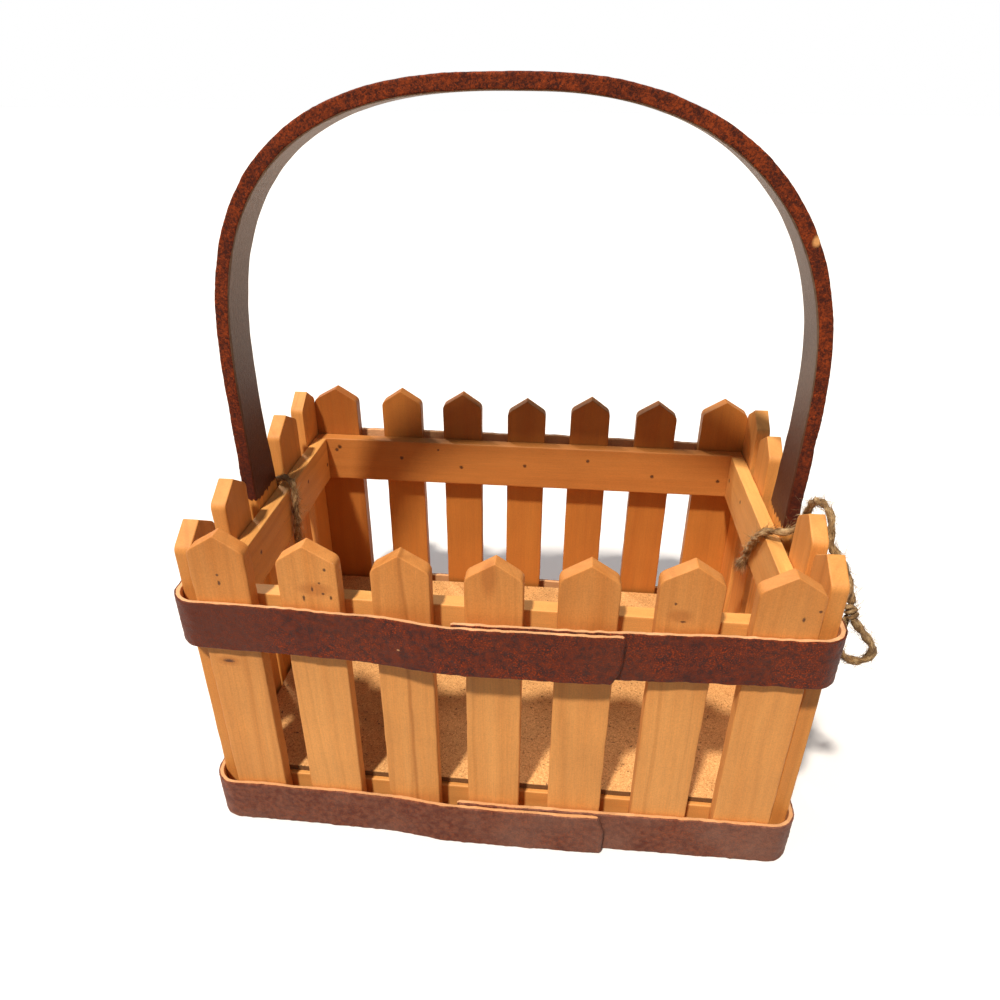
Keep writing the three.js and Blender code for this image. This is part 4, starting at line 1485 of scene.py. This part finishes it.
@dataclass
class TwineTies:
    """The two ties that lash the handle to the side rails, by points in millimetres."""

    left: Knots = (
        (-113.0, 6.73, 88.0), (-113.0, 7.73, 95.0), (-113.0, 8.93, 102.0), (-113.0, 10.13, 109.0),
        (-113.0, 10.83, 115.5), (-112.8, 11.73, 121.0), (-114.1, 13.73, 126.5), (-117.4, 16.13, 127.7),
        (-120.8, 18.13, 126.9), (-124.6, 19.53, 124.2), (-125.5, 20.43, 120.0), (-125.5, 20.83, 115.0),
        (-125.5, 21.03, 110.0),
    )
    strand: Knots = (
        (113.0, 7.53, 99.5), (113.0, 4.93, 105.5), (113.0, 0.93, 112.0), (113.0, -3.87, 118.0),
        (112.8, -8.07, 122.4), (113.9, -11.47, 126.8), (117.4, -14.67, 129.2), (122.0, -16.87, 130.6),
        (126.7, -17.87, 135.0), (128.2, -18.37, 141.0), (128.2, -20.67, 146.6), (127.9, -25.07, 151.0),
        (128.3, -30.47, 153.6), (129.6, -35.07, 153.4), (131.0, -38.07, 150.4), (131.5, -39.47, 146.0),
        (131.6, -41.27, 142.2), (132.2, -45.07, 139.8), (133.7, -50.67, 138.6), (134.7, -56.67, 136.2),
        (135.3, -61.87, 132.2), (135.5, -65.27, 127.8),
    )
    loop: Knots = (
        (135.7, -67.47, 124.4), (138.3, -68.47, 120.8), (141.8, -69.27, 116.8), (145.1, -69.27, 112.6),
        (146.9, -68.67, 108.0), (145.7, -67.87, 104.0), (142.1, -67.07, 102.0), (137.9, -66.27, 103.0),
        (135.2, -65.67, 106.8), (134.3, -65.47, 112.0), (134.3, -65.67, 118.0), (134.8, -66.27, 123.4),
    )
    knot: tuple[float, float, float] = (135.6, -66.47, 125.4)
    knot_radius: float = 1.6
    knot_turns: float = 2.4
    knot_points: int = 60
    # How far the knot reaches down and up the cord from its middle.
    knot_reach: tuple[float, float] = (-2.1, 2.9)
    path_step: float = 1.5 * MM

    def build(self) -> None:
        """Builds both ties in place of their CAD nodes."""
        jute = Jute().build()
        left = Tie(
            "tie_left", self.left, seed=31, fuzz=700, frayed_start=6 * MM, brush=170, brush_length=13 * MM
        )
        left_piece = left.build(jute, "left_twine")
        left_fuzz = left.fibres(jute, away=np.array([-1.0, 0, 0]))
        self._declare(left_piece, left.knots[::-1], [left_fuzz])
        strand = Tie("tie_right", self.strand, seed=37, fuzz=1000, frayed_start=3 * MM, brush=420)
        knot = Tie("tie_right_knot", self._knot_turns(), seed=41, diameter=2.3 * MM, fuzz=90)
        strand_piece, strand_fuzz = strand.build(jute, "right_twine"), strand.fibres(jute)
        others = [strand_fuzz, knot.build(jute), knot.fibres(jute)]
        self._declare(strand_piece, strand.knots, others)
        loop = Tie("tie_right_loop", self.loop, seed=43, fuzz=420)
        loop_piece = loop.build(jute)
        self._declare(loop_piece, loop.knots, [loop.fibres(jute)])
        LOG.info("twine ties: left, right and the right one's loop")

    def _knot_turns(self) -> Knots:
        """The knot: turns of the cord's own end round it, in millimetres.

        Returns:
            Points of a tight helix about the cord's direction at the knot.
        """
        run = unit(np.array(self.strand[-1]) - np.array(self.loop[1]))
        side = unit(np.cross(run, [0.0, 1.0, 0.0]))
        turn = np.linspace(0, 2 * np.pi * self.knot_turns, self.knot_points)
        climb = np.linspace(*self.knot_reach, self.knot_points)[:, None] * run
        ring = self.knot_radius * circle(turn, side, np.cross(run, side))
        return tuple(tuple(point) for point in np.array(self.knot) + climb + ring)

    def _declare(
        self, piece: bpy.types.Object, knots: Knots, others: list[bpy.types.Object]
    ) -> None:
        """Logs the name and length of a length of twine.

        Args:
            piece: The mesh tube.
            knots: The route's points from its exit, in millimetres.
            others: The separate pieces on it. Not used.
        """
        route = spline(np.array(knots) * MM, self.path_step)
        length = float(travel(route)[-1])
        tuple(route[0])
        LOG.info("%s: %.0f mm long", piece.name, length / MM)


@dataclass
class Brads:
    """Wire brads: a flat head, a round shank and a point that just comes through the rail."""

    shank: float = 0.65 * MM
    head: float = 1.2 * MM
    head_thickness: float = 0.8 * MM
    rim: float = 0.15 * MM
    sides: int = 14
    poke: float = 0.35 * MM

    def build(self) -> None:
        """Builds every brad in place of its CAD node."""
        steel = BradSteel().build()
        names = [f"brad_{side.value}_{number}" for side in Side for number in side.numbers]
        names += ["brad_handle_left", "brad_handle_right"]
        for node in names:
            self._brad(node, steel)
        LOG.info("brads: %d", len(names))

    def _brad(self, node: str, steel: bpy.types.Material) -> None:
        """One brad: a profile turned about its axis, with its point towards the basket's middle.

        Args:
            node: The CAD node that it stands for.
            steel: Its material.

        Its profile has an eased head, a neck, a shank and a tapered point.
        """
        low, high = np.array(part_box(node))
        axis = int(np.argmax(high - low))
        start = (low + high) / 2
        run = -np.sign(start[axis]) * np.eye(3)[axis]
        start = start - run * (high - low)[axis] / 2
        length = (high - low)[axis] + self.poke
        head, deep, shank, rim = self.head, self.head_thickness, self.shank, self.rim
        profile = np.array([
            [0, 0], [head - rim, 0], [head, rim], [head, deep - rim], [head - rim, deep], [shank, deep + rim],
            [shank, length - 2.2 * shank], [0.55 * shank, length - 0.8 * shank], [0.12 * shank, length],
            [0, length],
        ])
        around = np.linspace(0, 2 * np.pi, self.sides, endpoint=False)
        ring = circle(around, np.eye(3)[(axis + 1) % 3], np.eye(3)[(axis + 2) % 3])
        points = start + profile[:, 0, None, None] * ring + profile[:, 1, None, None] * run
        faces = grid_faces(len(profile), self.sides, ends=False)
        make_piece(f"wire_{node}", points, faces, {}, steel, node, weld=True)


# Studio.


@dataclass
class Studio:
    """A pale floor, two soft lamps, a pale sky and the camera at the photograph's angle."""

    focal_share: float = 0.745004
    camera_place: tuple[float, float, float] = (0.021208, -0.30971, 0.301472)
    pitch: float = 28.846
    yaw: float = -5.199
    roll: float = -0.367
    floor_seen: str = "#f6f9ff"
    floor_felt: str = "#867a6d"
    floor_reach: float = 12.0
    front_way: tuple[float, float, float] = (0.42, 1.0, -1.98)
    back_way: tuple[float, float, float] = (0.75, -0.85, -0.95)
    front_strength: float = 4.1
    back_strength: float = 1.2
    front_angle: float = 4.0
    back_angle: float = 8.0
    front_light: str = "#fff2e0"
    back_light: str = "#fff6ec"
    sky_strength: float = 0.2

    def camera(self) -> None:
        """Places the camera."""
        pitch, yaw, roll = (math.radians(a) for a in (self.pitch, self.yaw, self.roll))
        ahead = np.array([
            math.sin(yaw) * math.cos(pitch), math.cos(yaw) * math.cos(pitch), -math.sin(pitch),
        ])
        level = np.array([math.cos(yaw), -math.sin(yaw), 0.0])
        down = np.cross(ahead, level)
        right = level * math.cos(roll) + down * math.sin(roll)
        up = level * math.sin(roll) - down * math.cos(roll)
        data = bpy.data.cameras.new("camera")
        data.sensor_width = 36.0
        data.lens = data.sensor_width * self.focal_share
        data.clip_start = 0.01
        camera = bpy.data.objects.new("camera", data)
        turn = Matrix([right, up, -ahead]).transposed().to_4x4()
        camera.matrix_world = Matrix.Translation(self.camera_place) @ turn
        bpy.context.scene.collection.objects.link(camera)
        bpy.context.scene.camera = camera

    def lamp(
        self, name: str, way: tuple[float, float, float], strength: float, angle: float, light: str
    ) -> None:
        """Adds a distant lamp with soft shadows.

        Args:
            name: The lamp's name.
            way: The direction in which its light travels.
            strength: Its strength.
            angle: The angle that it fills, in degrees.
            light: Its colour.
        """
        data = bpy.data.lights.new(name, "SUN")
        data.energy = strength
        data.angle = math.radians(angle)
        data.color = linear(light)[:3]
        lamp = bpy.data.objects.new(name, data)
        back = unit(-np.array(way))
        side = unit(np.cross([0.0, 1.0, 0.0], back))
        lamp.matrix_world = Matrix([side, np.cross(back, side), back]).transposed().to_4x4()
        bpy.context.scene.collection.objects.link(lamp)

    def floor(self) -> None:
        """Lays the floor: white to the camera, and a quiet warm grey to what it lights."""
        material, tree = new_material("pale floor")
        rays = [add(tree, "LightPath", out=f"Is {kind} Ray") for kind in ("Camera", "Glossy")]
        seen = add(tree, "Math", *rays, operation="MAXIMUM")
        colour = add(tree, "Mix", seen, linear(self.floor_felt), linear(self.floor_seen), data_type="RGBA")
        skin = add(tree, "BsdfPrincipled", colour, Roughness=0.9, **{"Specular IOR Level": 0.2})
        add(tree, "OutputMaterial", skin)
        mesh = bpy.data.meshes.new("floor")
        reach = self.floor_reach
        corners = [(-reach, -reach, 0), (reach, -reach, 0), (reach, reach, 0), (-reach, reach, 0)]
        mesh.from_pydata(corners, [], [(0, 1, 2, 3)])
        mesh.materials.append(material)
        floor = bpy.data.objects.new("floor", mesh)
        bpy.context.scene.collection.objects.link(floor)

    def sky(self) -> None:
        """Sets the sky: white to the camera, gentle to the object."""
        world = bpy.data.worlds.new("sky")
        world.use_nodes = True
        tree = world.node_tree
        tree.nodes.clear()
        seen = add(tree, "LightPath", out="Is Camera Ray")
        strength = add(tree, "Mix", seen, self.sky_strength, 1.0, data_type="FLOAT")
        add(tree, "OutputWorld", add(tree, "Background", Color=(1, 1, 1, 1), Strength=strength))
        bpy.context.scene.world = world

    def build(self) -> None:
        """Builds the whole studio."""
        self.camera()
        self.lamp("front lamp", self.front_way, self.front_strength, self.front_angle, self.front_light)
        self.lamp("back lamp", self.back_way, self.back_strength, self.back_angle, self.back_light)
        self.floor()
        self.sky()
        bpy.context.scene.view_settings.view_transform = "Standard"


UPPER_BARK = BarkStrip("bark strip, upper", chips=(
    Mark((-72.6, -88.9, 113.6), 0.9, (1.4, 1, 0.8)), Mark((-38.0, -89.2, 111.0), 0.7, (1, 1, 0.7)),
    Mark((-1.5, -89.4, 111.1), 0.8, (0.8, 1, 1.2)), Mark((106.8, -87.0, 117.4), 0.7),
    Mark((-2.6, -89.4, 117.4), 0.6, (1.6, 1, 0.6)), Mark((3.2, -89.4, 116.9), 0.8, (2.2, 1, 0.5)),
))
LOWER_BARK = BarkStrip(
    "bark strip, lower", dark="#5f2c1d", brown="#7f4a36", orange="#b04a1c", bloom="#957062",
    raw="#d7a373", bloom_share=0.6, orange_share=0.4,
)


def main() -> None:
    """Builds the basket round its frame."""
    logging.basicConfig(level=logging.INFO, format="%(name)s: %(message)s")
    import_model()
    Studio().build()
    TwineTies().build()
    Pickets().build()
    Rails().build()
    Band(
        "band_upper", "upper_band", low=102 * MM, bow=3.4 * MM, notch_from=109 * MM, notch_to=102 * MM,
        finish=UPPER_BARK, seed=61, plain_end=True,
    ).build()
    Band(
        "band_lower", "lower_band", low=0.0, bow=0.9 * MM, notch_from=15 * MM, notch_to=19 * MM,
        finish=LOWER_BARK, seed=71, plain_end=False,
    ).build()
    Hoop().build()
    Brads().build()


if __name__ == "__main__":
    main()
